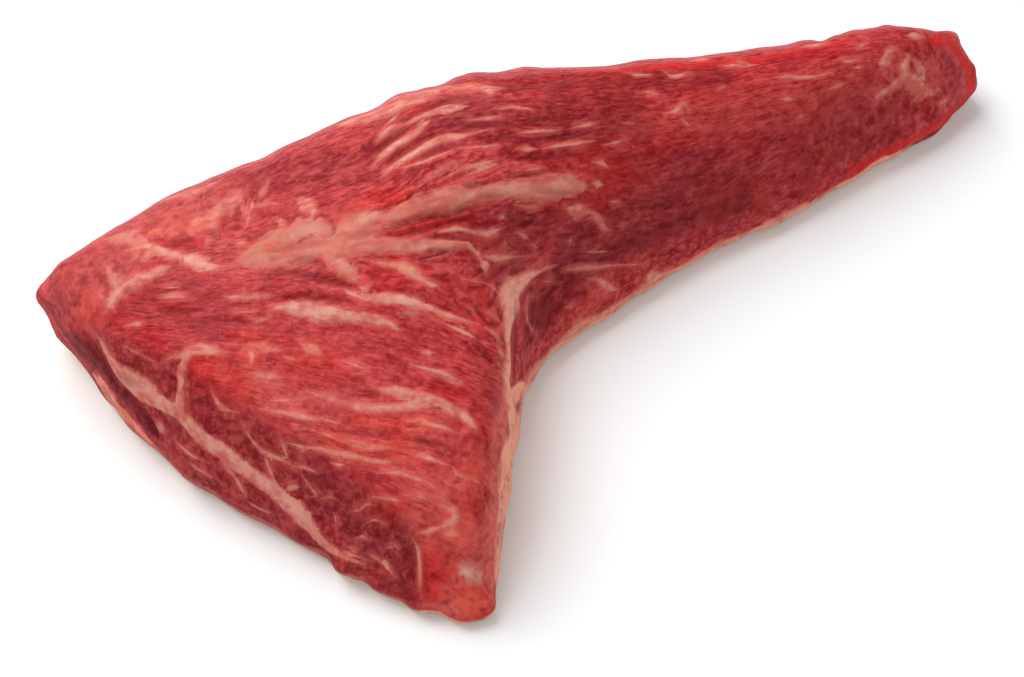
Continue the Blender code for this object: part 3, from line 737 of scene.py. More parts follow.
SHADES = [  # painted shade in soft furrows of the wide fat, and over the fat at the foot of the cut face
    [(262, 252, 4), (280, 250, 5), (305, 246, 5), (330, 243, 5)], [(300, 238, 4), (318, 240, 4)],
    [(345, 240, 4), (362, 236, 5), (380, 230, 4)], [(286, 262, 4), (306, 259, 5), (322, 258, 4)],
    [(404, 220, 4), (418, 215, 4), (434, 211, 4), (450, 206, 4)],
    [(470, 198, 4), (490, 196, 4), (510, 196, 4)],
    [(425, 203, 3), (445, 197, 3)], [(536, 192, 4), (556, 194, 4), (574, 193, 3)],
    [(270, 236, 3), (278, 230, 3)], [(366, 216, 3), (378, 208, 3)],
    [(103, 388, 8), (110, 399, 10), (118, 408, 11), (127, 417, 9), (136, 427, 6)],
    [(120, 373, 6), (131, 381, 8), (142, 387, 6)],
]
GAPS = [  # painted shade between the strands of the fan and beside the seams
    [(372, 158, 4), (384, 145, 6), (396, 134, 6), (410, 128, 4)],
    [(384, 172, 4), (396, 156, 6), (412, 146, 6), (430, 136, 5), (448, 130, 4)],
    [(392, 184, 5), (404, 176, 6), (420, 170, 5)],
    [(408, 162, 4), (425, 154, 5), (445, 147, 5), (470, 143, 4)],
    [(440, 126, 5), (465, 124, 6), (500, 124, 6), (540, 122, 5), (580, 118, 4)],
    [(470, 140, 4), (500, 139, 6), (530, 140, 6), (560, 137, 5), (590, 134, 4)],
    [(500, 155, 5), (530, 158, 6), (560, 156, 5), (590, 152, 4)],
    [(410, 116, 5), (430, 106, 6), (450, 99, 6), (480, 97, 5)],
    [(372, 128, 4), (384, 120, 5), (398, 112, 4)],
    [(268, 300, 4), (300, 298, 6), (335, 300, 6), (360, 306, 4)],
    [(400, 440, 4), (430, 443, 5), (455, 448, 4)],
    [(330, 430, 4), (360, 434, 5), (390, 440, 4)], [(290, 420, 4), (320, 430, 4)],
    [(210, 320, 4), (240, 322, 5), (270, 326, 4)], [(150, 310, 4), (180, 312, 5), (205, 310, 4)],
    [(470, 300, 4), (480, 312, 5), (490, 326, 4)], [(470, 345, 4), (485, 354, 5), (496, 366, 4)],
    [(515, 300, 6), (517, 325, 6), (516, 350, 5), (514, 375, 4)],
]
print(len(CREASES) + len(GAPS), "creases")

# %% [markdown]
# Each drawn path is laid on the skin as a row of edges. A point of it keeps its half width, how
# solid the fat is, and its tint. Above 0 the tint leans from pink to peach and evens the edges,
# above 1 it pales, and below 0 it is warm and brownish.

# %% Laying the paths on the skin
PATH_STEPS = 3
TIP_STEPS = 3  # steps over which a path grows from its tip to its full width
MOST_LEAP = 7 * MM  # a path that leaps further than this has passed behind a fold
PLAIN_SCALE = 3.15  # pixels to the millimetre, where a ray beside the path misses the meat
LEAST_WIDTH, MOST_WIDTH = 0.7, 1.9  # times the width at that scale
NO_LENGTH = 1e-6


def half_width(x, y, width, run):
    """Half the drawn width in metres, measured on the skin across the path."""
    side = np.array([-run[1], run[0]]) / max(np.hypot(*run), NO_LENGTH) * width / 2
    one, other = on_skin(x + side[0], y + side[1]), on_skin(x - side[0], y - side[1])
    plain = width / 2 / PLAIN_SCALE * MM
    if one is None or other is None:
        return plain
    return float(np.clip((one - other).length / 2, LEAST_WIDTH * plain, MOST_WIDTH * plain))


def lay_paths(name, groups):
    """groups: (paths, strength, tint, share of the width, share of it at the tips)."""
    points, rows, edges = [], [], []
    for paths, strength, tint, slim, tip in groups:
        for path in paths:
            line = smooth_path(path, PATH_STEPS)
            runs = np.gradient(line[:, :2], axis=0)
            from_tip = np.minimum(np.arange(len(line)), np.arange(len(line))[::-1])
            from_tip = from_tip / min(TIP_STEPS, len(line) / 3)
            full = tip + (1 - tip) * np.clip(from_tip, 0, 1)
            before = None
            for (x, y, width), run, here in zip(line, runs, full):
                width, firm = width * slim * here, strength * math.sqrt(here)
                hit = on_skin(x, y)
                if hit is None:
                    before = None
                    continue
                if before is not None and (hit - points[before]).length < MOST_LEAP:
                    edges.append((before, len(points)))
                before = len(points)
                points.append(hit)
                rows.append((half_width(x, y, width, run), firm, tint))
    data = bpy.data.meshes.new(name)
    data.from_pydata(points, edges, [])
    for k, label in enumerate(("half", "strength", "tint")):
        data.attributes.new(label, "FLOAT", "POINT").data.foreach_set("value", [r[k] for r in rows])
    return put(name, data)


drawn_lines = {
    "Seams": lay_paths("seam_lines", [
        (SEAMS, 1.1, 0.1, 1.0, 0.7),
        (MAIN_SEAM, 0.95, -1.0, 1.06, 0.6),
        (FACE_SEAM, 0.9, 0.2, 1.0, 0.7),
        (VALLEY_SEAM, 1.15, 1.2, 1.05, 0.5),
        (PATCHES, 0.6, 0.0, 1.0, 0.4),
        (RIM_FAT, 0.95, 0.8, 1.0, 0.8),
    ]),
    "Threads": lay_paths("thread_lines", [
        (THREADS, 1.1, 0.2, 0.9, 0.35),
        (FACE_THREADS, 0.85, 0.2, 0.75, 0.3),
        (VALLEY_THREADS, 0.8, 0.3, 0.75, 0.3),
        (FILMS, 0.4, 0.1, 1.0, 0.5),
    ]),
    "Creases": lay_paths("crease_lines", [
        (CREASES, 1.0, 0.0, 0.85, 0.4),
        (GAPS, 0.9, 0.0, 1.1, 0.4),
        (SHADES, 0.5, 0.0, 1.2, 0.4),
    ]),
}
print("path points:", {label: len(lines.data.vertices) for label, lines in drawn_lines.items()})

# %% [markdown]
# ## Tones of the lean
# Raw beef is not one red. Where air has reached it for longer it is bright, where it is fresh
# from the knife it is purple, and where fat lies just under the surface it is salmon. These
# tones change slowly, so they are laid on as broad soft strokes. The strokes also hold painted
# light and shade: the salmon strokes paint sheen and light, the deep strokes paint shade on the
# tail's slopes, in the valley, on the cut face and over the top, and the red edges paint rim
# light on the tail. A stroke is its amount, and then stops of (x, y, width) as before.

# %% Soft strokes of tone
# salmon where fat lies under the lean, and painted sheen and light on the upper left, the right wall, the
# lower tip and the tail's upper slope
SALMON_AND_LIGHT = [
    (0.35, [(70, 290, 50), (120, 252, 70), (180, 222, 70), (225, 205, 50)]),
    (0.8, [(150, 225, 40), (200, 205, 46), (225, 195, 40)]),
    (0.6, [(375, 115, 36), (430, 95, 30), (490, 88, 20)]),
    (0.4, [(250, 255, 50), (320, 245, 50), (400, 222, 40)]),
    (1.0, [(506, 400, 24), (500, 450, 30), (496, 500, 30), (492, 560, 30), (488, 600, 20)]),
    (0.8, [(460, 535, 40), (476, 570, 44), (466, 600, 36), (440, 600, 36)]),
    (0.5, [(410, 525, 30), (430, 555, 30)]),
    (0.4, [(440, 500, 60), (470, 470, 50)]),
    (0.3, [(250, 400, 70), (330, 420, 80), (440, 455, 70)]),
    (0.3, [(950, 42, 18), (966, 66, 20), (968, 90, 18)]),
    (0.3, [(745, 112, 40), (790, 108, 50), (830, 104, 40)]),
    (0.32, [(600, 122, 24), (650, 124, 28), (700, 122, 28), (740, 118, 24)]),
]
# the purple of fresh meat, and painted shade: on faces turned from the softbox, on the tail's lower
# slope, in the valley, over the top and in the dark band of the cut face
DEEP_AND_SHADE = [
    (0.68, [(440, 112, 40), (500, 122, 60), (560, 120, 64), (620, 110, 60)]),
    (0.6, [(500, 84, 24), (560, 84, 30), (640, 80, 30), (720, 76, 30)]),
    (0.25, [(60, 285, 50), (110, 250, 60), (170, 215, 60), (230, 195, 50)]),
    (0.3, [(120, 300, 40), (170, 300, 50), (220, 310, 40)]),
    (0.5, [(385, 150, 50), (430, 130, 60), (490, 110, 50)]),
    (0.4, [(250, 185, 50), (310, 170, 60), (360, 170, 40)]),
    (0.9, [(74, 336, 12), (90, 350, 15), (105, 370, 14), (119, 389, 16), (132, 405, 16),
           (156, 434, 12)]),
    (0.4, [(590, 158, 12), (650, 158, 16), (700, 156, 16), (760, 159, 16), (815, 160, 14)]),
    (0.7, [(550, 300, 36), (580, 252, 60)]),
    (0.6, [(600, 240, 60), (650, 216, 70), (725, 196, 70)]),
    (0.85, [(590, 262, 20), (620, 248, 24), (660, 232, 24), (700, 215, 24), (745, 200, 20)]),
    (0.4, [(730, 185, 90), (810, 152, 70), (880, 128, 50)]),
    (0.7, [(530, 330, 26), (545, 305, 40)]),
    (0.8, [(70, 340, 16), (92, 362, 20)]), (0.6, [(120, 392, 12), (138, 410, 13), (155, 430, 10)]),
    (0.3, [(830, 110, 40), (880, 105, 40), (915, 105, 30)]),
    (0.5, [(480, 230, 40), (540, 215, 40), (500, 270, 40)]),
    (0.35, [(310, 480, 30), (350, 510, 40), (390, 545, 40)]),
]
BRIGHT = [
    (0.3, [(530, 120, 80), (600, 120, 110), (700, 112, 110), (800, 100, 100)]),
    (0.7, [(590, 150, 30), (620, 180, 40), (600, 205, 30)]),
    (0.5, [(640, 150, 30), (690, 140, 30)]),
    (0.75, [(500, 84, 14), (560, 76, 18), (620, 72, 18), (700, 66, 18), (780, 58, 18),
            (840, 50, 16)]),
    (0.8, [(432, 565, 30), (430, 590, 30)]),
    (0.8, [(375, 512, 20), (395, 505, 20)]),
    (0.55, [(352, 270, 26), (396, 285, 26)]),
    (0.7, [(440, 392, 20), (460, 392, 18)]),
    (0.45, [(380, 200, 26), (400, 196, 20)]),
    (0.8, [(400, 230, 12), (440, 220, 14), (470, 214, 12)]),
    (0.7, [(472, 282, 14), (486, 298, 14), (480, 328, 12)]),
    (0.3, [(330, 365, 30), (300, 372, 30)]),
    (0.6, [(116, 318, 16), (138, 326, 22), (160, 338, 16)]),
    (0.6, [(125, 305, 16), (150, 300, 20), (180, 310, 20)]),
    (0.8, [(145, 262, 12), (160, 264, 12)]),
    (0.7, [(160, 243, 12), (200, 243, 14)]),
    (0.35, [(200, 370, 30), (230, 385, 34)]),
    (0.8, [(430, 140, 14), (446, 132, 14)]),
]
ORANGE = [
    (0.7, [(356, 203, 16), (400, 196, 16)]), (0.7, [(408, 113, 14), (432, 104, 12)]),
    (0.7, [(466, 84, 12), (502, 80, 10)]), (0.9, [(470, 592, 30), (480, 606, 30)]),
    (0.6, [(430, 566, 22), (428, 590, 22)]),
    (0.5, [(440, 560, 40), (470, 530, 30), (480, 470, 30)]), (0.7, [(263, 250, 8), (276, 244, 10)]),
    (0.35, [(318, 352, 20), (340, 372, 26)]), (0.6, [(356, 420, 14), (424, 424, 14)]),
    (0.6, [(150, 232, 12), (205, 226, 14)]), (0.6, [(96, 396, 10), (122, 412, 12), (150, 440, 10)]),
    (0.35, [(200, 375, 34), (240, 388, 34)]), (0.4, [(250, 345, 30), (300, 360, 30)]),
    (0.5, [(395, 262, 14), (425, 276, 12)]), (0.4, [(330, 440, 24), (400, 450, 24)]),
]
PALE = [  # against ORANGE: whiter places in the fat
    (0.35, [(292, 236, 12), (312, 231, 14), (326, 236, 10)]),
    (0.6, [(350, 226, 12), (374, 216, 10)]),
    (0.7, [(336, 262, 8), (350, 270, 8)]), (0.6, [(430, 194, 6), (470, 194, 8)]),
    (0.8, [(556, 184, 10), (582, 184, 10)]), (0.6, [(500, 189, 8), (524, 187, 8)]),
    (0.7, [(296, 310, 10), (330, 313, 10)]), (0.6, [(400, 299, 8), (428, 308, 8)]),
    (0.6, [(400, 248, 8), (450, 245, 8)]), (0.9, [(466, 568, 14), (474, 577, 14)]),
    (0.4, [(186, 259, 10), (208, 266, 10)]), (0.3, [(144, 388, 10), (160, 398, 10)]),
    (0.5, [(210, 440, 10), (250, 470, 10), (300, 512, 10)]),
]
# bright red along the tail's edges: partly the meat's own bloom, partly painted rim light
RED_EDGES_AND_RIM_LIGHT = [
    (0.65, [(935, 40, 12), (952, 44, 12), (966, 62, 12), (973, 80, 12), (966, 98, 12),
            (945, 120, 14)]),
    (0.7, [(945, 120, 10), (915, 138, 12), (880, 156, 12), (850, 172, 8)]),
    (0.5, [(620, 70, 8), (700, 64, 10), (770, 57, 10), (850, 40, 10)]),
]
strokes = (SALMON_AND_LIGHT, DEEP_AND_SHADE, BRIGHT, ORANGE, PALE, RED_EDGES_AND_RIM_LIGHT)
print(sum(len(paths) for paths in strokes), "strokes")

# %% [markdown]
# Two more sets of strokes say where chance may do its work: where the lean is full of fine
# flecks of fat, and where it is calm and shows no run of fibres. It is calm too where the plate
# crowds the fibres. Every stroke is then painted over the points of the skin.

# %% Painting the strokes
MARBLED = [
    (1.0, [(390, 150, 60), (440, 125, 70), (500, 110, 60), (560, 130, 60), (600, 140, 40)]),
    (0.8, [(70, 300, 60), (120, 285, 60)]),
    (0.6, [(420, 400, 50), (350, 405, 50)]),
    (1.0, [(340, 500, 60), (400, 540, 60), (450, 560, 60)]),
    (0.8, [(880, 75, 50), (920, 80, 40)]), (0.5, [(620, 112, 50), (690, 106, 60), (760, 98, 50)]),
    (0.3, [(600, 200, 80), (680, 180, 80), (760, 140, 80), (850, 120, 60)]),
]
CALM = [  # where the meat shows no run of fibres, only soft blotches
    (1.0, [(50, 290, 90), (85, 285, 90), (120, 262, 80)]),
    (0.8, [(140, 235, 70), (190, 215, 70), (240, 195, 60)]),
    (0.6, [(290, 240, 60), (350, 230, 50)]),
    (0.7, [(430, 590, 60), (470, 580, 60)]),
    (0.9, [(506, 420, 44), (498, 500, 44), (490, 590, 40)]),
    (0.2, [(600, 180, 120), (700, 160, 130), (800, 120, 120)]),
    (0.4, [(880, 95, 90), (940, 85, 70)]),
    (0.35, [(200, 330, 120), (320, 380, 160), (420, 440, 160)]),
    (0.7, [(468, 440, 60), (468, 500, 70), (460, 550, 70)]),
]
STROKE_STEPS = 8
STROKE_SCALE = 3.0  # pixels to the millimetre, near enough for soft strokes
STROKE_FADE = (0.45, 1.55)  # half widths from its middle between which a stroke fades out
FAR = 9.0  # half widths
CROWDED = (2.4, 3.8)  # mm across the grain to the mm


def painted(paths):
    """The stroke's amount over the skin, fading out past its half width."""
    total = np.zeros(count)
    for amount, path in paths:
        nearest = np.full(count, FAR)
        for hit, (width,) in met_on_skin(path, STROKE_STEPS):
            gap = np.linalg.norm(places - np.array(hit), axis=1) / MM
            nearest = np.minimum(nearest, gap / (width / 2 / STROKE_SCALE))
        total = np.maximum(total, amount * (1 - eased(nearest, *STROKE_FADE)))
    return total


tones = [painted(paths) for paths in (SALMON_AND_LIGHT, DEEP_AND_SHADE, BRIGHT)]
marbled, red_edge, calm = (painted(paths) for paths in (MARBLED, RED_EDGES_AND_RIM_LIGHT, CALM))
calm = np.maximum(calm, eased(crowding, *CROWDED))
orange = painted(ORANGE) - painted(PALE)
shares = [round(float(t.mean()), 3) for t in (*tones, marbled, red_edge, calm, orange)]
print("share of each tone:", shares)

# %% [markdown]
# ## What the skin carries
# All of these numbers go onto the mesh as named attributes, which both Geometry Nodes and the
# material can read. Lengths are kept in millimetres.

# %% Attributes


def give(data, name, columns):
    """One attribute of up to three columns."""
    rows = np.column_stack([*columns, *[np.zeros(len(columns[0]))] * (3 - len(columns))])
    made = data.attributes.new(name, "FLOAT_VECTOR", "POINT")
    made.data.foreach_set("vector", rows.astype(np.float32).ravel())


give(skin_data, "grain", (places[:, 0] / MM, across))
give(skin_data, "parts", (on_face, np.maximum(on_side, on_face), beneath))
give(skin_data, "edges", (rim, on_side * (1 - on_face), orange))
give(skin_data, "tones", tones)
give(skin_data, "marbled", (marbled, red_edge, calm))
print("attributes:", [a.name for a in skin_data.attributes if not a.is_internal])

# %% [markdown]
# ## A short hand for nodes
# Node trees are long to write out. `Board` adds a node, fills its sockets with values or links,
# and has a word for each thing that the trees below do often.

# %% Node board


class Board:
    def __init__(self, tree):
        self.tree = tree

    def add(self, kind, inputs=None, **settings):
        node = self.tree.nodes.new(kind)
        for key, value in settings.items():
            setattr(node, key, value)
        for key, value in (inputs or {}).items():
            self.feed(self.socket(node.inputs, key), value)
        return node

    @staticmethod
    def socket(sockets, key):
        if isinstance(key, int):
            return sockets[key]
        return next(s for s in sockets if s.name == key and s.enabled)

    def feed(self, socket, value):
        if isinstance(value, bpy.types.NodeSocket):
            self.tree.links.new(value, socket)
        else:
            socket.default_value = value

    def sums(self, operation, *values, **settings):
        node = self.add("ShaderNodeMath", dict(enumerate(values)), operation=operation, **settings)
        return node.outputs[0]

    def plus(self, one, other):
        return self.sums("ADD", one, other)

    def minus(self, one, other, **settings):
        return self.sums("SUBTRACT", one, other, **settings)

    def times(self, one, other, **settings):
        return self.sums("MULTIPLY", one, other, **settings)

    def times_plus(self, one, other, more):
        return self.sums("MULTIPLY_ADD", one, other, more)

    def vectors(self, operation, *values):
        node = self.add("ShaderNodeVectorMath", dict(enumerate(values)), operation=operation)
        return self.socket(node.outputs, "Value" if operation in ("DOT_PRODUCT", "LENGTH") else "Vector")

    def ease(self, value, low, high, start=0.0, end=1.0):
        node = self.add(
            "ShaderNodeMapRange",
            {"Value": value, "From Min": low, "From Max": high, "To Min": start, "To Max": end},
            interpolation_type="SMOOTHSTEP",
        )
        return self.socket(node.outputs, "Result")

    def noise(self, vector, scale=1.0, detail=2.0, roughness=0.5):
        node = self.add(
            "ShaderNodeTexNoise",
            {"Vector": vector, "Scale": scale, "Detail": detail, "Roughness": roughness},
        )
        return node.outputs[0]

    def join(self, *values):
        return self.add("ShaderNodeCombineXYZ", dict(enumerate(values))).outputs[0]

    def carried(self, name):
        """In a material: this attribute of the skin."""
        return self.add("ShaderNodeAttribute", attribute_name=name).outputs["Vector"]

    def split(self, vector):
        return self.add("ShaderNodeSeparateXYZ", {0: vector}).outputs

    def between(self, share, one, other):
        """Mix of two numbers."""
        return self.add("ShaderNodeMix", {0: share, 2: one, 3: other}).outputs[0]

    def tint(self, share, one, other, way="MIX"):
        """Mix of two colours."""
        node = self.add("ShaderNodeMix", {0: share, 6: one, 7: other}, data_type="RGBA", blend_type=way)
        return node.outputs[2]


def new_group(name, kind, inputs, outputs):
    tree = bpy.data.node_groups.new(name, kind)
    for label, socket, value in inputs:
        made = tree.interface.new_socket(label, in_out="INPUT", socket_type=socket)
        if value is not None:
            made.default_value = value
    for label, socket in outputs:
        tree.interface.new_socket(label, in_out="OUTPUT", socket_type=socket)
    return Board(tree), tree.nodes.new("NodeGroupInput").outputs, tree.nodes.new("NodeGroupOutput").inputs


FLOAT, VECTOR, OBJECT = "NodeSocketFloat", "NodeSocketVector", "NodeSocketObject"
GEOMETRY = "NodeSocketGeometry"
print("node board ready")

# %% [markdown]
# ## How far is it to the nearest path?
# This group turns a set of drawn paths into five fields over the skin. The paths become curves,
# the curves become close points, and each place on the skin asks its nearest point. `Side` is
# signed: it passes through zero on the path itself and changes evenly across it, so a thread
# that is thinner than a face still comes out sharp in the material.

# %% Stroke field group


def stroke_field():
    board, given, out = new_group(
        "stroke_field", "GeometryNodeTree",
        [("Paths", OBJECT, None), ("Spacing", FLOAT, 0.4 * MM)],
        [("Side", FLOAT), ("Gap", FLOAT), ("Half", FLOAT), ("Strength", FLOAT), ("Tint", FLOAT)],
    )
    lines = board.add("GeometryNodeObjectInfo", {"Object": given["Paths"]})
    curves = board.add("GeometryNodeMeshToCurve", {"Mesh": lines.outputs["Geometry"]})
    dots = board.add(
        "GeometryNodeCurveToPoints",
        {"Curve": curves.outputs["Curve"], "Length": given["Spacing"]}, mode="LENGTH",
    )
    nearest = board.add("GeometryNodeSampleNearest", {"Geometry": dots.outputs["Points"]}, domain="POINT")

    def ask(kind, value):
        node = board.add(
            "GeometryNodeSampleIndex",
            {"Geometry": dots.outputs["Points"], "Index": nearest.outputs[0]},
            data_type=kind, domain="POINT",
        )
        board.feed(board.socket(node.inputs, "Value"), value)
        return board.socket(node.outputs, "Value")

    here = board.add("GeometryNodeInputPosition").outputs[0]
    there = ask("FLOAT_VECTOR", here)
    ahead = ask("FLOAT_VECTOR", dots.outputs["Tangent"])
    up = board.add("GeometryNodeInputNormal").outputs[0]
    across_path = board.vectors("NORMALIZE", board.vectors("CROSS_PRODUCT", up, ahead))
    step = board.vectors("SUBTRACT", here, there)
    board.feed(out["Side"], board.vectors("DOT_PRODUCT", step, across_path))
    board.feed(out["Gap"], board.vectors("LENGTH", step))
    for label in ("Half", "Strength", "Tint"):
        kept = board.add("GeometryNodeInputNamedAttribute", {"Name": label.lower()}, data_type="FLOAT")
        board.feed(out[label], ask("FLOAT", board.socket(kept.outputs, "Attribute")))
    return board.tree


STROKE_FIELD = stroke_field()
print("stroke_field:", len(STROKE_FIELD.nodes), "nodes")

# %% [markdown]
# ## Relief
# The skin of the meat is not smooth: bundles of fibres stand up as low ridges along the grain,
# fat stands a little proud, creases sink. One tree does it all, from the attributes and the
# drawn paths, with each height as a named input. It also stores the path fields for the
# material, in millimetres.

# %% Relief tree
RELIEF = {
    "Lump Height": 0.9 * MM,
    "Bundle Height": 0.45 * MM,
    "Fibre Height": 0.06 * MM,
    "Seam Rise": 0.35 * MM,
    "Crease Depth": 0.7 * MM,
    "Seed": 3.0,
}
PATH_SETS = ("Seams", "Threads", "Creases")
BUNDLE_SIZE, FIBRE_SIZE = (22.0, 4.2), (7.0, 1.8)  # mm along the grain, and across it
ENDLESS = 1e6  # mm: noise of this size doesn't change
LUMP_SCALE, LUMP_DETAIL = 110.0, 3.0
CALMED = 0.7  # share of the relief that a calm place loses
SHOULDER = (0.6 * MM, -0.7 * MM)  # past the edge of fat: where it starts to rise, and is full
PROUD = {"Seams": 1.0, "Threads": 0.6}  # share of the rise
CREASE_REACH = 2.2  # half widths
FOOT = 5 * MM  # below this height the relief fades out, so that the meat lies flat


def along_grain(board, vector, sizes, seed):
    """Noise drawn out by these sizes, in millimetres."""
    stretched = board.vectors("DIVIDE", vector, sizes)
    return board.noise(board.vectors("ADD", stretched, seed))


def relief_tree(material):
    board, given, out = new_group(
        "meat_relief", "GeometryNodeTree",
        [("Skin", GEOMETRY, None), *[(name, OBJECT, None) for name in PATH_SETS],
         *[(name, FLOAT, value) for name, value in RELIEF.items()]],
        [("Meat", GEOMETRY)],
    )
    geometry = given["Skin"]

    def named(label):
        node = board.add("GeometryNodeInputNamedAttribute", {"Name": label}, data_type="FLOAT_VECTOR")
        return board.socket(node.outputs, "Attribute")

    def store(name, value):
        node = board.add(
            "GeometryNodeStoreNamedAttribute", {"Geometry": geometry, "Name": name},
            data_type="FLOAT_VECTOR", domain="POINT",
        )
        board.feed(board.socket(node.inputs, "Value"), value)
        return node.outputs["Geometry"]

    fields = {}
    for name in PATH_SETS:
        field = board.add("GeometryNodeGroup", {"Paths": given[name]}, node_tree=STROKE_FIELD).outputs
        in_mm = [board.sums("DIVIDE", field[label], MM) for label in ("Side", "Gap", "Half")]
        geometry = store(name.lower(), board.join(*in_mm))
        geometry = store(name.lower() + "_kind", board.join(field["Strength"], field["Tint"]))
        fields[name] = field

    seed = board.join(0.0, 0.0, given["Seed"])
    side = board.split(named("parts"))[1]
    grain = named("grain")
    here = board.add("GeometryNodeInputPosition").outputs[0]
    here_in_mm = board.vectors("MULTIPLY", here, (1 / MM, 1 / MM, 1 / MM))

    def both(along, across_size):
        on_top = along_grain(board, grain, (along, across_size, ENDLESS), seed)
        on_wall = along_grain(board, here_in_mm, (along, along, across_size), seed)
        return board.minus(board.between(side, on_top, on_wall), 0.5)

    bundles = board.times(both(*BUNDLE_SIZE), given["Bundle Height"])
    fibres = board.times(both(*FIBRE_SIZE), given["Fibre Height"])
    lumps = board.minus(board.noise(here, LUMP_SCALE, LUMP_DETAIL), 0.5)
    total = board.times_plus(lumps, given["Lump Height"], board.plus(bundles, fibres))
    calmed = board.times(board.split(named("marbled"))[2], CALMED)
    total = board.times(total, board.minus(1.0, calmed))
    for name, share in PROUD.items():
        past_edge = board.minus(fields[name]["Gap"], fields[name]["Half"])
        rise = board.times(board.ease(past_edge, *SHOULDER), board.times(given["Seam Rise"], share))
        total = board.plus(total, board.times(rise, fields[name]["Strength"]))
    crease = fields["Creases"]
    sunk = board.ease(board.sums("DIVIDE", crease["Gap"], crease["Half"]), CREASE_REACH, 0.0)
    sunk = board.times(board.times(sunk, crease["Strength"]), given["Crease Depth"])
    total = board.minus(total, sunk)
    total = board.times(total, board.ease(board.split(here)[2], 0.0, FOOT))
    up = board.add("GeometryNodeInputNormal").outputs[0]
    move = board.vectors("SCALE", up)
    board.feed(move.node.inputs["Scale"], total)
    moved = board.add("GeometryNodeSetPosition", {"Geometry": geometry, "Offset": move})
    smooth = board.add("GeometryNodeSetShadeSmooth", {"Geometry": moved.outputs[0]})
    real = board.add("GeometryNodeRealizeInstances", {"Geometry": smooth.outputs[0]})
    dressed = board.add("GeometryNodeSetMaterial", {"Geometry": real.outputs[0], "Material": material})
    board.feed(out["Meat"], dressed.outputs[0])
    return board.tree


print("relief heights, mm:", {k: round(v / MM, 2) for k, v in RELIEF.items() if k != "Seed"})

# %% [markdown]
# ## Colours
# Colours are written as they look on the screen, and turned into the linear values that a
# shader wants.

# %% Colours


def paint(red, green, blue):
    screen = np.array((red, green, blue)) / 255
    linear = np.where(screen <= 0.04045, screen / 12.92, ((screen + 0.055) / 1.055) ** 2.4)
    return (*[float(v) for v in linear], 1.0)


LEAN = paint(180, 50, 54)
LEAN_DARK = paint(148, 24, 31)
LEAN_LIGHT = paint(206, 78, 80)
# salmon lean, also the colour of painted sheen and light
SALMON_LEAN_AND_LIGHT = paint(220, 102, 92)
# also the colour of painted sheen on the fibres
FINE_LIGHT_AND_SHEEN = paint(214, 96, 93)
BRIGHT_LEAN = paint(188, 28, 32)
# partly the colour of painted rim light
RED_EDGE_AND_RIM_LIGHT = paint(216, 34, 32)
ORANGE_LEAN = paint(206, 72, 56)
PURPLE_LEAN = paint(160, 52, 64)
FAT = paint(214, 148, 132)
FAT_PINK = paint(192, 90, 82)
PEACH = paint(244, 164, 136)
WARM_FAT = paint(190, 112, 92)
PALE_FAT = paint(250, 194, 180)
# painted shade for creases and cracks
CREASE_SHADE = paint(112, 10, 18)
UNDER_FAT = paint(228, 190, 170)
# the deep stain is the purple of fresh meat and painted shade
DEEP_STAIN_AND_SHADE = (0.44, 0.27, 0.38, 1.0)  # a stain multiplies the colour
BRIGHT_STAIN = (1.0, 0.38, 0.40, 1.0)
ORANGE_STAIN = (1.15, 0.84, 0.68, 1.0)
print("lean", [round(v, 3) for v in LEAN[:3]])

# %% [markdown]
# ## Two effects for the meat
# `streaks` is noise drawn out along the grain: by the grain on the top, and by the place itself
# on the sides. On the cut face and where the meat is calm it turns into plain blotches.
# `drawn_fat` turns one set of path fields into a mask with ragged edges.

# %% Shader groups
WAVER, WAVER_SCALE = 2.4, 90.0  # mm by which the grain wanders from a straight run
WALL_RUN = 0.7  # streaks on the sides are this much shorter
BLOTCH_SIZE = 1.5  # times the width of a streak


def streaks_group():
    board, given, out = new_group(
        "streaks", "ShaderNodeTree",
        [("Along", FLOAT, 20.0), ("Across", FLOAT, 1.0), ("Detail", FLOAT, 3.0),
         ("Roughness", FLOAT, 0.6), ("Seed", FLOAT, 0.0)],
        [("Value", FLOAT)],
    )
    face, side, _ = board.split(board.carried("parts"))
    calm = board.split(board.carried("marbled"))[2]
    in_place = board.add("ShaderNodeTexCoord").outputs["Object"]
    in_mm = board.vectors("MULTIPLY", in_place, (1 / MM, 1 / MM, 1 / MM))
    wavy = {"Vector": in_place, "Scale": WAVER_SCALE, "Detail": 2.0}
    bend = board.add("ShaderNodeTexNoise", wavy).outputs["Color"]
    bend = board.vectors("SUBTRACT", bend, (0.5, 0.5, 0.5))
    part_way = board.times(given["Along"], WALL_RUN)
    broad_way = board.times(given["Across"], BLOTCH_SIZE)
    shift = board.join(0.0, 0.0, given["Seed"])
    runs = (
        (board.carried("grain"), (given["Along"], given["Across"], 1.0)),
        (in_mm, (part_way, part_way, given["Across"])),
        (in_mm, (broad_way, broad_way, broad_way)),
    )
    values = []
    for vector, sizes in runs:
        bent = board.vectors("MULTIPLY_ADD", bend, (WAVER, WAVER, WAVER / 2), vector)
        place = board.vectors("ADD", board.vectors("DIVIDE", bent, board.join(*sizes)), shift)
        values.append(board.noise(place, 1.0, given["Detail"], given["Roughness"]))
    on_top, on_wall, blotches = values
    run = board.between(side, on_top, on_wall)
    board.feed(out["Value"], board.between(board.sums("MAXIMUM", face, calm), run, blotches))
    return board.tree


BROAD_HALF = 4.0  # mm: half width from which fat has its full wander and softness
FEATHER = {"Along": 6.0, "Across": 0.9, "Seed": 31.0}
RAGGED, WORN = (420.0, 2.0, 0.6), (230.0, 3.0, 0.65)  # scale, detail and roughness of noise
WORN_AT = (0.56, 0.36)  # noise at which the fat starts to break, and is broken
END_FADE = (0.3, 1.1)  # mm past the end of a thread
FIRM = (0.45, 0.5)  # how solid fat is, for each mm of its half width, and for none


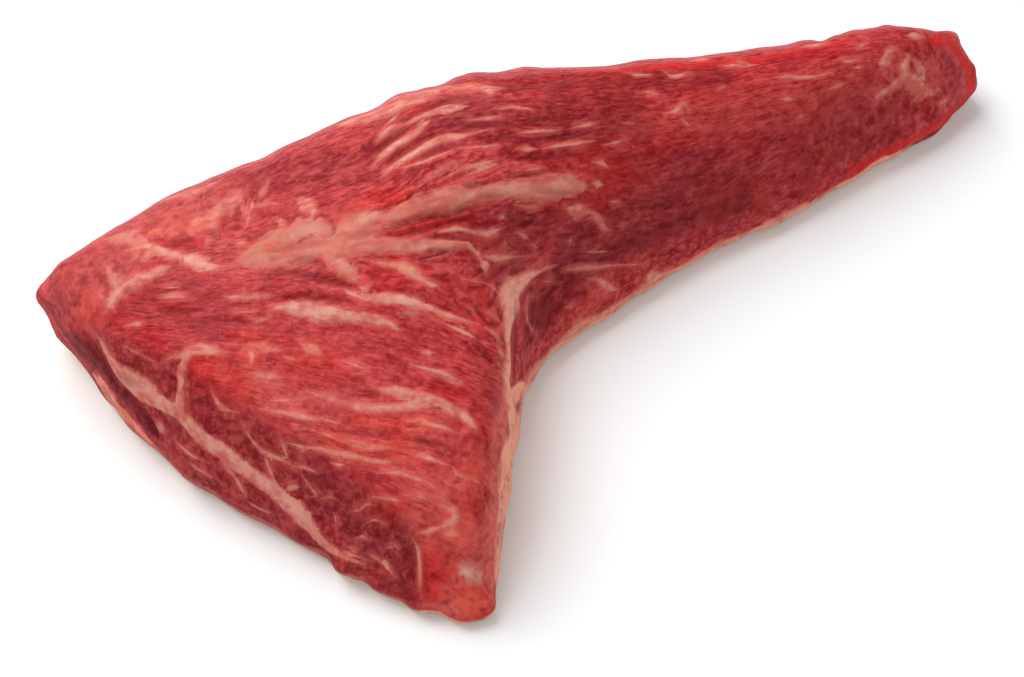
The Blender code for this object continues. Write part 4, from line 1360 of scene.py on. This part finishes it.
def drawn_group():
    board, given, out = new_group(
        "drawn_fat", "ShaderNodeTree",
        [("Path", VECTOR, None), ("Strength", FLOAT, 1.0), ("Wander", FLOAT, 0.5),
         ("Soft", FLOAT, 0.35), ("Breaks", FLOAT, 0.5), ("Threads", FLOAT, 1.0)],
        [("Mask", FLOAT)],
    )
    side, gap, half = board.split(given["Path"])
    in_place = board.add("ShaderNodeTexCoord").outputs["Object"]
    feather = board.add("ShaderNodeGroup", FEATHER, node_tree=STREAKS).outputs[0]
    ragged = board.minus(board.plus(feather, board.noise(in_place, *RAGGED)), 1.0)
    breadth = board.sums("DIVIDE", half, BROAD_HALF, use_clamp=True)
    soft = board.times(given["Soft"], breadth)
    ragged = board.times(board.times(ragged, given["Wander"]), breadth)
    from_path = board.between(given["Threads"], gap, board.sums("ABSOLUTE", side))
    off = board.plus(from_path, ragged)
    across_mask = board.ease(off, board.minus(half, soft), board.plus(half, soft), 1.0, 0.0)
    beyond = board.plus(board.minus(gap, half), ragged)
    near_mask = board.between(given["Threads"], 1.0, board.ease(beyond, *END_FADE, 1.0, 0.0))
    worn = board.times(board.ease(board.noise(in_place, *WORN), *WORN_AT), given["Breaks"])
    firm = board.sums("MINIMUM", board.times_plus(half, *FIRM), 1.0)
    mask = board.times(board.times(across_mask, near_mask), given["Strength"])
    board.feed(out["Mask"], board.times(board.times(mask, firm), board.minus(1.0, worn)))
    return board.tree


STREAKS = streaks_group()
DRAWN = drawn_group()
print("shader groups:", STREAKS.name, DRAWN.name)

# %% [markdown]
# ## The meat's material
# The colour is built up as a painter would: a lean red that varies along the grain, broad
# tones over it that also hold painted light and shade, fine fibres with painted sheen, flecks of
# fat, then the drawn seams and threads, painted shade in the creases, and the fat side below.
# The same fields drive the roughness and a fine bump. The numbers come first.
# Noise runs between 0 and 1. A pair says where it starts to count and where it counts in full,
# and four numbers add the values that it gives there.

# %% Numbers of the material
CARRIED = {
    "parts": ("face", "side", "under"),
    "edges": ("rim", "wall", "orange"),
    "tones": ("salmon", "deep", "bright"),
    "marbled": ("marbled", "red_edge", "calm"),
}
STREAK_LOOKS = {  # mm along the grain, mm across it, seed, detail, roughness
    "broad": (26.0, 9.0, 11.0, 2.0, 0.6),
    "medium": (8.0, 3.2, 5.0, 1.0, 0.5),
    "small": (3.8, 1.6, 8.0, 1.0, 0.5),
    "fine": (2.5, 1.1, 2.0, 2.0, 0.5),
    "crack": (5.0, 1.3, 51.0, 1.0, 0.5),
    "fleck": (4.2, 1.5, 21.0, 1.0, 0.5),
    "patch": (12.0, 3.0, 41.0, 3.0, 0.6),
    "ridges": (9.0, 2.4, 5.0, 1.0, 0.4),
}
NOISE_LOOKS = {  # scale, detail, roughness
    "cloud": (70.0, 3.0, 0.6),
    "mottle": (330.0, 3.0, 0.6),
    "grains": (1000.0, 2.0, 0.6),
}
# how much of each noise the tone of the lean is made of
BODY = (("broad", 0.25), ("medium", 0.32), ("small", 0.33), ("mottle", 0.10))
BODY_LEAN, BODY_LIGHT, BODY_SALMON_AND_LIGHT = (0.42, 0.50), (0.50, 0.59), (0.42, 0.56, 0.5, 1.0)
BLOTCHES = [  # scale, metres aside, where it starts, most of it, tone
    (130.0, 0.0, 0.56, 0.55, BRIGHT_LEAN),
    (75.0, 1.0, 0.54, 0.45, ORANGE_LEAN),
    (60.0, 2.0, 0.54, 0.5, PURPLE_LEAN),
]
BLOTCH_EDGE, BLOTCH_NOISE = 0.14, (3.0, 0.6)  # and the detail and roughness of their noise
CALM_LOSS = -0.5  # share of the fine tones that a calm place loses
# fine tones of the fibres, with painted sheen and painted shade of their small relief; the cracks take
# painted shade
FINE_TONES_AND_SHEEN = [  # noise, where it starts, where it is full, most of it, tone
    ("fine", 0.49, 0.32, 0.55, LEAN_DARK),
    ("fine", 0.51, 0.70, 0.6, FINE_LIGHT_AND_SHEEN),
    ("mottle", 0.48, 0.30, 0.4, LEAN_DARK),
    ("mottle", 0.52, 0.70, 0.4, FINE_LIGHT_AND_SHEEN),
    ("grains", 0.54, 0.76, 0.2, FINE_LIGHT_AND_SHEEN),
    ("crack", 0.60, 0.70, 0.5, CREASE_SHADE),
]
FACE_STAIN_AND_SHADE = 0.55  # share of the deep stain and painted shade that the cut face gets
FLECK_BAR, FLECK_EDGE = (0.60, 0.53), 0.2  # in plain lean, and where it is marbled
FLECK_FACE, FLECK_MOST = -0.2, 0.45  # share of a fleck, and what the cut face takes off it
HALO, HALO_CORE, HALO_WANDER = 1.7, -0.5, 8.0  # mm: how far fat shines through, and how unevenly
HALO_MOST = 0.45  # share of salmon right beside the fat
DRAWN_LOOKS = [  # wander and softness in mm, breaks, and whether threads
    ("threads", 4.0, 3.2, 0.5, 1.0),
    ("seams", 7.0, 2.6, 0.35, 0.0),
]
EVENED = -0.55  # share of the wander and the softness that an even place loses
SOLID, SOLID_AT = {"medium": 0.4, "mottle": 0.25, "cloud": 0.35}, (0.42, 0.54)
PEACH_SHARE, WARM_SHARE = 0.7, -0.6  # for each whole step of tint, up or down
THREADED, THREADED_AT, THREADED_MOST = 0.5, (0.5, 0.62), 0.65  # lean strands in the seams
DRAWN_MOST = 0.92  # a little lean shows through even the widest fat
PALE_SHARE, PALE_AT = -0.36, (0.38, 0.5, 0.4, 1.0)  # where `orange` is below zero
SUNK_AT, SUNK_MOTTLE = (1.9, 0.1, 0.0, 0.6), (0.3, 0.55, 0.4, 1.0)  # creases, by half widths
RIM_WANDER, RIM_AT, RIM_TONE_AT = 0.9, (0.25, 0.8), (0.62, 1.06)
RIM_FACE, RIM_MOST = -0.7, 0.95  # share of the rim, and what the cut face takes off it
LOW_WANDER, LOW_AT = 0.8, (0.35, 0.6)
LEAN_ROUGHNESS, FAT_ROUGHNESS, SIDE_ROUGHNESS = (0.3, 0.7, 0.36, 0.54), 0.55, 0.68
BUMPS = (("fine", 0.10), ("grains", 0.12), ("mottle", 0.4), ("ridges", 0.35))
BUMP_LOSS = -0.6  # on fat and on the sides
SURFACE = {
    "Specular IOR Level": 0.1,
    "Subsurface Weight": 0.12,
    "Subsurface Radius": (1.0, 0.35, 0.25),
    "Subsurface Scale": 0.0015,
}
print(len(STREAK_LOOKS) + len(NOISE_LOOKS), "kinds of noise")

# %% [markdown]
# Each layer is a function of its own. `look` holds the noises and `skin` the fields that the
# skin carries. Once fat is laid on, `fatty` says how much of it there is at a place.

# %% Layers of the material


def looks_of(board, place):
    """Every noise that the layers read, by name."""
    made = {}
    for name, values in STREAK_LOOKS.items():
        inputs = dict(zip(("Along", "Across", "Seed", "Detail", "Roughness"), values))
        made[name] = board.add("ShaderNodeGroup", inputs, node_tree=STREAKS).outputs[0]
    for name, values in NOISE_LOOKS.items():
        made[name] = board.noise(place, *values)
    return SimpleNamespace(**made)


def skin_of(board):
    """Every field that the skin carries, by name."""
    made = {"place": board.add("ShaderNodeTexCoord").outputs["Object"]}
    for attribute, names in CARRIED.items():
        made.update(zip(names, board.split(board.carried(attribute))))
    return SimpleNamespace(**made)


def lean(board, look, skin):
    body = 0.0
    for name, amount in BODY:
        body = board.times_plus(getattr(look, name), amount, body)
    colour = board.tint(board.ease(body, *BODY_LEAN), LEAN_DARK, LEAN)
    colour = board.tint(board.ease(body, *BODY_LIGHT), colour, LEAN_LIGHT)
    for scale, aside, low, most, tone in BLOTCHES:
        patchy = board.noise(board.vectors("ADD", skin.place, (aside, 0.0, 0.0)), scale, *BLOTCH_NOISE)
        colour = board.tint(board.ease(patchy, low, low + BLOTCH_EDGE, 0.0, most), colour, tone)
    # the salmon tone, partly painted sheen and light
    salmon = board.times(skin.salmon, board.ease(body, *BODY_SALMON_AND_LIGHT))
    colour = board.tint(salmon, colour, SALMON_LEAN_AND_LIGHT)
    lively = board.times_plus(skin.calm, CALM_LOSS, 1.0)
    # fine tones, partly painted sheen and shade
    for name, low, high, most, tone in FINE_TONES_AND_SHEEN:
        share = board.times(board.ease(getattr(look, name), low, high, 0.0, most), lively)
        colour = board.tint(share, colour, tone)
    # the purple of fresh meat, and painted shade
    colour = board.tint(skin.deep, colour, DEEP_STAIN_AND_SHADE, "MULTIPLY")
    colour = board.tint(skin.bright, colour, BRIGHT_STAIN, "MULTIPLY")
    # partly painted rim light
    colour = board.tint(skin.red_edge, colour, RED_EDGE_AND_RIM_LIGHT)
    # the cut face darker: partly its fresh purple, partly painted shade
    return board.tint(board.times(skin.face, FACE_STAIN_AND_SHADE), colour, DEEP_STAIN_AND_SHADE, "MULTIPLY")


def flecks(board, look, skin, colour):
    bar = board.ease(skin.marbled, 0.0, 1.0, *FLECK_BAR)
    share = board.ease(board.minus(look.fleck, bar), 0.0, FLECK_EDGE)
    share = board.times(share, board.times_plus(skin.face, FLECK_FACE, FLECK_MOST))
    return board.tint(share, colour, FAT_PINK)


def halo(board, look, colour):
    """Fat shines through the lean beside it."""
    for name in ("threads", "seams"):
        _, gap, half = board.split(board.carried(name))
        wander = board.minus(look.patch, 0.5)
        beyond = board.times_plus(wander, HALO_WANDER, board.minus(gap, half))
        strength = board.split(board.carried(name + "_kind"))[0]
        share = board.times(board.ease(beyond, HALO, HALO_CORE), strength)
        colour = board.tint(board.times(share, HALO_MOST), colour, SALMON_LEAN_AND_LIGHT)
    return colour


def fat_colour(board, solid, tint):
    fat = board.tint(board.ease(solid, *SOLID_AT), FAT_PINK, FAT)
    fat = board.tint(board.times(tint, PEACH_SHARE, use_clamp=True), fat, PEACH)
    fat = board.tint(board.times(tint, WARM_SHARE, use_clamp=True), fat, WARM_FAT)
    return board.tint(board.minus(tint, 1.0, use_clamp=True), fat, PALE_FAT)


def drawn_fat(board, look, skin, colour):
    solid = board.times_plus(look.medium, SOLID["medium"], board.times(look.mottle, SOLID["mottle"]))
    solid = board.times_plus(look.cloud, SOLID["cloud"], solid)
    masks = []
    for name, wander, soft, breaks, threads in DRAWN_LOOKS:
        strength, tint, _ = board.split(board.carried(name + "_kind"))
        even = board.sums("MAXIMUM", skin.face, board.times(tint, 1.0, use_clamp=True))
        inputs = {
            "Path": board.carried(name),
            "Strength": strength,
            "Wander": board.times_plus(even, EVENED * wander, wander),
            "Soft": board.times_plus(skin.face, EVENED * soft, soft),
            "Breaks": breaks,
            "Threads": threads,
        }
        mask = board.add("ShaderNodeGroup", inputs, node_tree=DRAWN).outputs[0]
        fat = fat_colour(board, solid, tint)
        if name == "seams":
            strands = board.times_plus(look.fine, THREADED, board.times(look.patch, THREADED))
            strands = board.times(board.ease(strands, *THREADED_AT), THREADED_MOST)
            fat = board.tint(strands, fat, SALMON_LEAN_AND_LIGHT)
        colour = board.tint(board.times(mask, DRAWN_MOST), colour, fat)
        masks.append(mask)
    colour = board.tint(board.times(skin.orange, 1.0, use_clamp=True), colour, ORANGE_STAIN, "MULTIPLY")
    fatty = board.sums("MAXIMUM", *masks)
    pale = board.times(skin.orange, PALE_SHARE, use_clamp=True)
    pale = board.times(pale, board.ease(solid, *PALE_AT))
    return board.tint(board.times(pale, fatty), colour, PALE_FAT), fatty


# painted shade in the creases, gaps and furrows
def creases(board, look, colour):
    _, gap, half = board.split(board.carried("creases"))
    sunk = board.ease(board.sums("DIVIDE", gap, half), *SUNK_AT)
    sunk = board.times(sunk, board.ease(look.mottle, *SUNK_MOTTLE))
    sunk = board.times(sunk, board.split(board.carried("creases_kind"))[0])
    return board.tint(sunk, colour, CREASE_SHADE)


def lower_fat(board, look, skin, colour, fatty):
    """The strip of fat round the foot, and the fat side below."""
    wander = board.minus(look.cloud, 0.5)
    rim = board.ease(board.times_plus(wander, RIM_WANDER, skin.rim), *RIM_AT)
    rim = board.times(rim, board.times_plus(skin.face, RIM_FACE, RIM_MOST))
    rim_tone = board.ease(board.plus(look.mottle, look.cloud), *RIM_TONE_AT)
    colour = board.tint(rim, colour, board.tint(rim_tone, FAT_PINK, PEACH))
    low = board.ease(board.times_plus(wander, LOW_WANDER, skin.under), *LOW_AT)
    return board.tint(low, colour, UNDER_FAT), board.sums("MAXIMUM", fatty, low)


def surface(board, look, skin, fatty, sockets):
    for label, value in SURFACE.items():
        sockets[label].default_value = value
    rough = board.between(fatty, board.ease(look.mottle, *LEAN_ROUGHNESS), FAT_ROUGHNESS)
    board.feed(sockets["Roughness"], board.between(skin.side, rough, SIDE_ROUGHNESS))
    height = 0.0
    for name, amount in BUMPS:
        height = board.times_plus(board.minus(getattr(look, name), 0.5), amount, height)
    for smooth in (fatty, skin.wall):
        height = board.times(height, board.times_plus(smooth, BUMP_LOSS, 1.0))
    bump = board.add("ShaderNodeBump", {"Height": height, "Distance": 1.0 * MM, "Strength": 1.0})
    board.feed(sockets["Normal"], bump.outputs[0])


def beef_material():
    material = bpy.data.materials.new("raw_beef")
    material.use_nodes = True
    board = Board(material.node_tree)
    sockets = material.node_tree.nodes["Principled BSDF"].inputs
    skin = skin_of(board)
    look = looks_of(board, skin.place)
    colour = flecks(board, look, skin, lean(board, look, skin))
    colour, fatty = drawn_fat(board, look, skin, halo(board, look, colour))
    colour = creases(board, look, colour)
    colour, fatty = lower_fat(board, look, skin, colour, fatty)
    board.feed(sockets["Base Color"], colour)
    surface(board, look, skin, fatty, sockets)
    return material


beef = beef_material()
print("raw_beef:", len(beef.node_tree.nodes), "nodes")

# %% [markdown]
# ## Putting the relief on the skin
# The tree goes on as a modifier. Its inputs are set by their identifiers before Blender first
# evaluates it, the result is kept as a plain mesh, and the helpers are removed.

# %% The dressed meat


def dress(data):
    draft = put("relief_draft", data)
    modifier = draft.modifiers.new("relief", "NODES")
    modifier.node_group = relief_tree(beef)
    named = {i.name: i.identifier for i in modifier.node_group.interface.items_tree}
    for label, value in {**drawn_lines, **RELIEF}.items():
        modifier[named[label]] = value
    made = put("tri_tip_meat", settled(draft, "tri_tip_meat"))
    for helper in (draft, *drawn_lines.values()):
        bpy.data.objects.remove(helper)
    return made


meat = dress(skin_data)
triangles = sum(len(p.vertices) - 2 for p in meat.data.polygons)
print("meat:", len(meat.data.vertices), "points,", triangles, "triangles")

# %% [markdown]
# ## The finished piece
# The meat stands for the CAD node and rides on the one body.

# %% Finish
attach(meat, "root")
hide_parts("tri_tip")
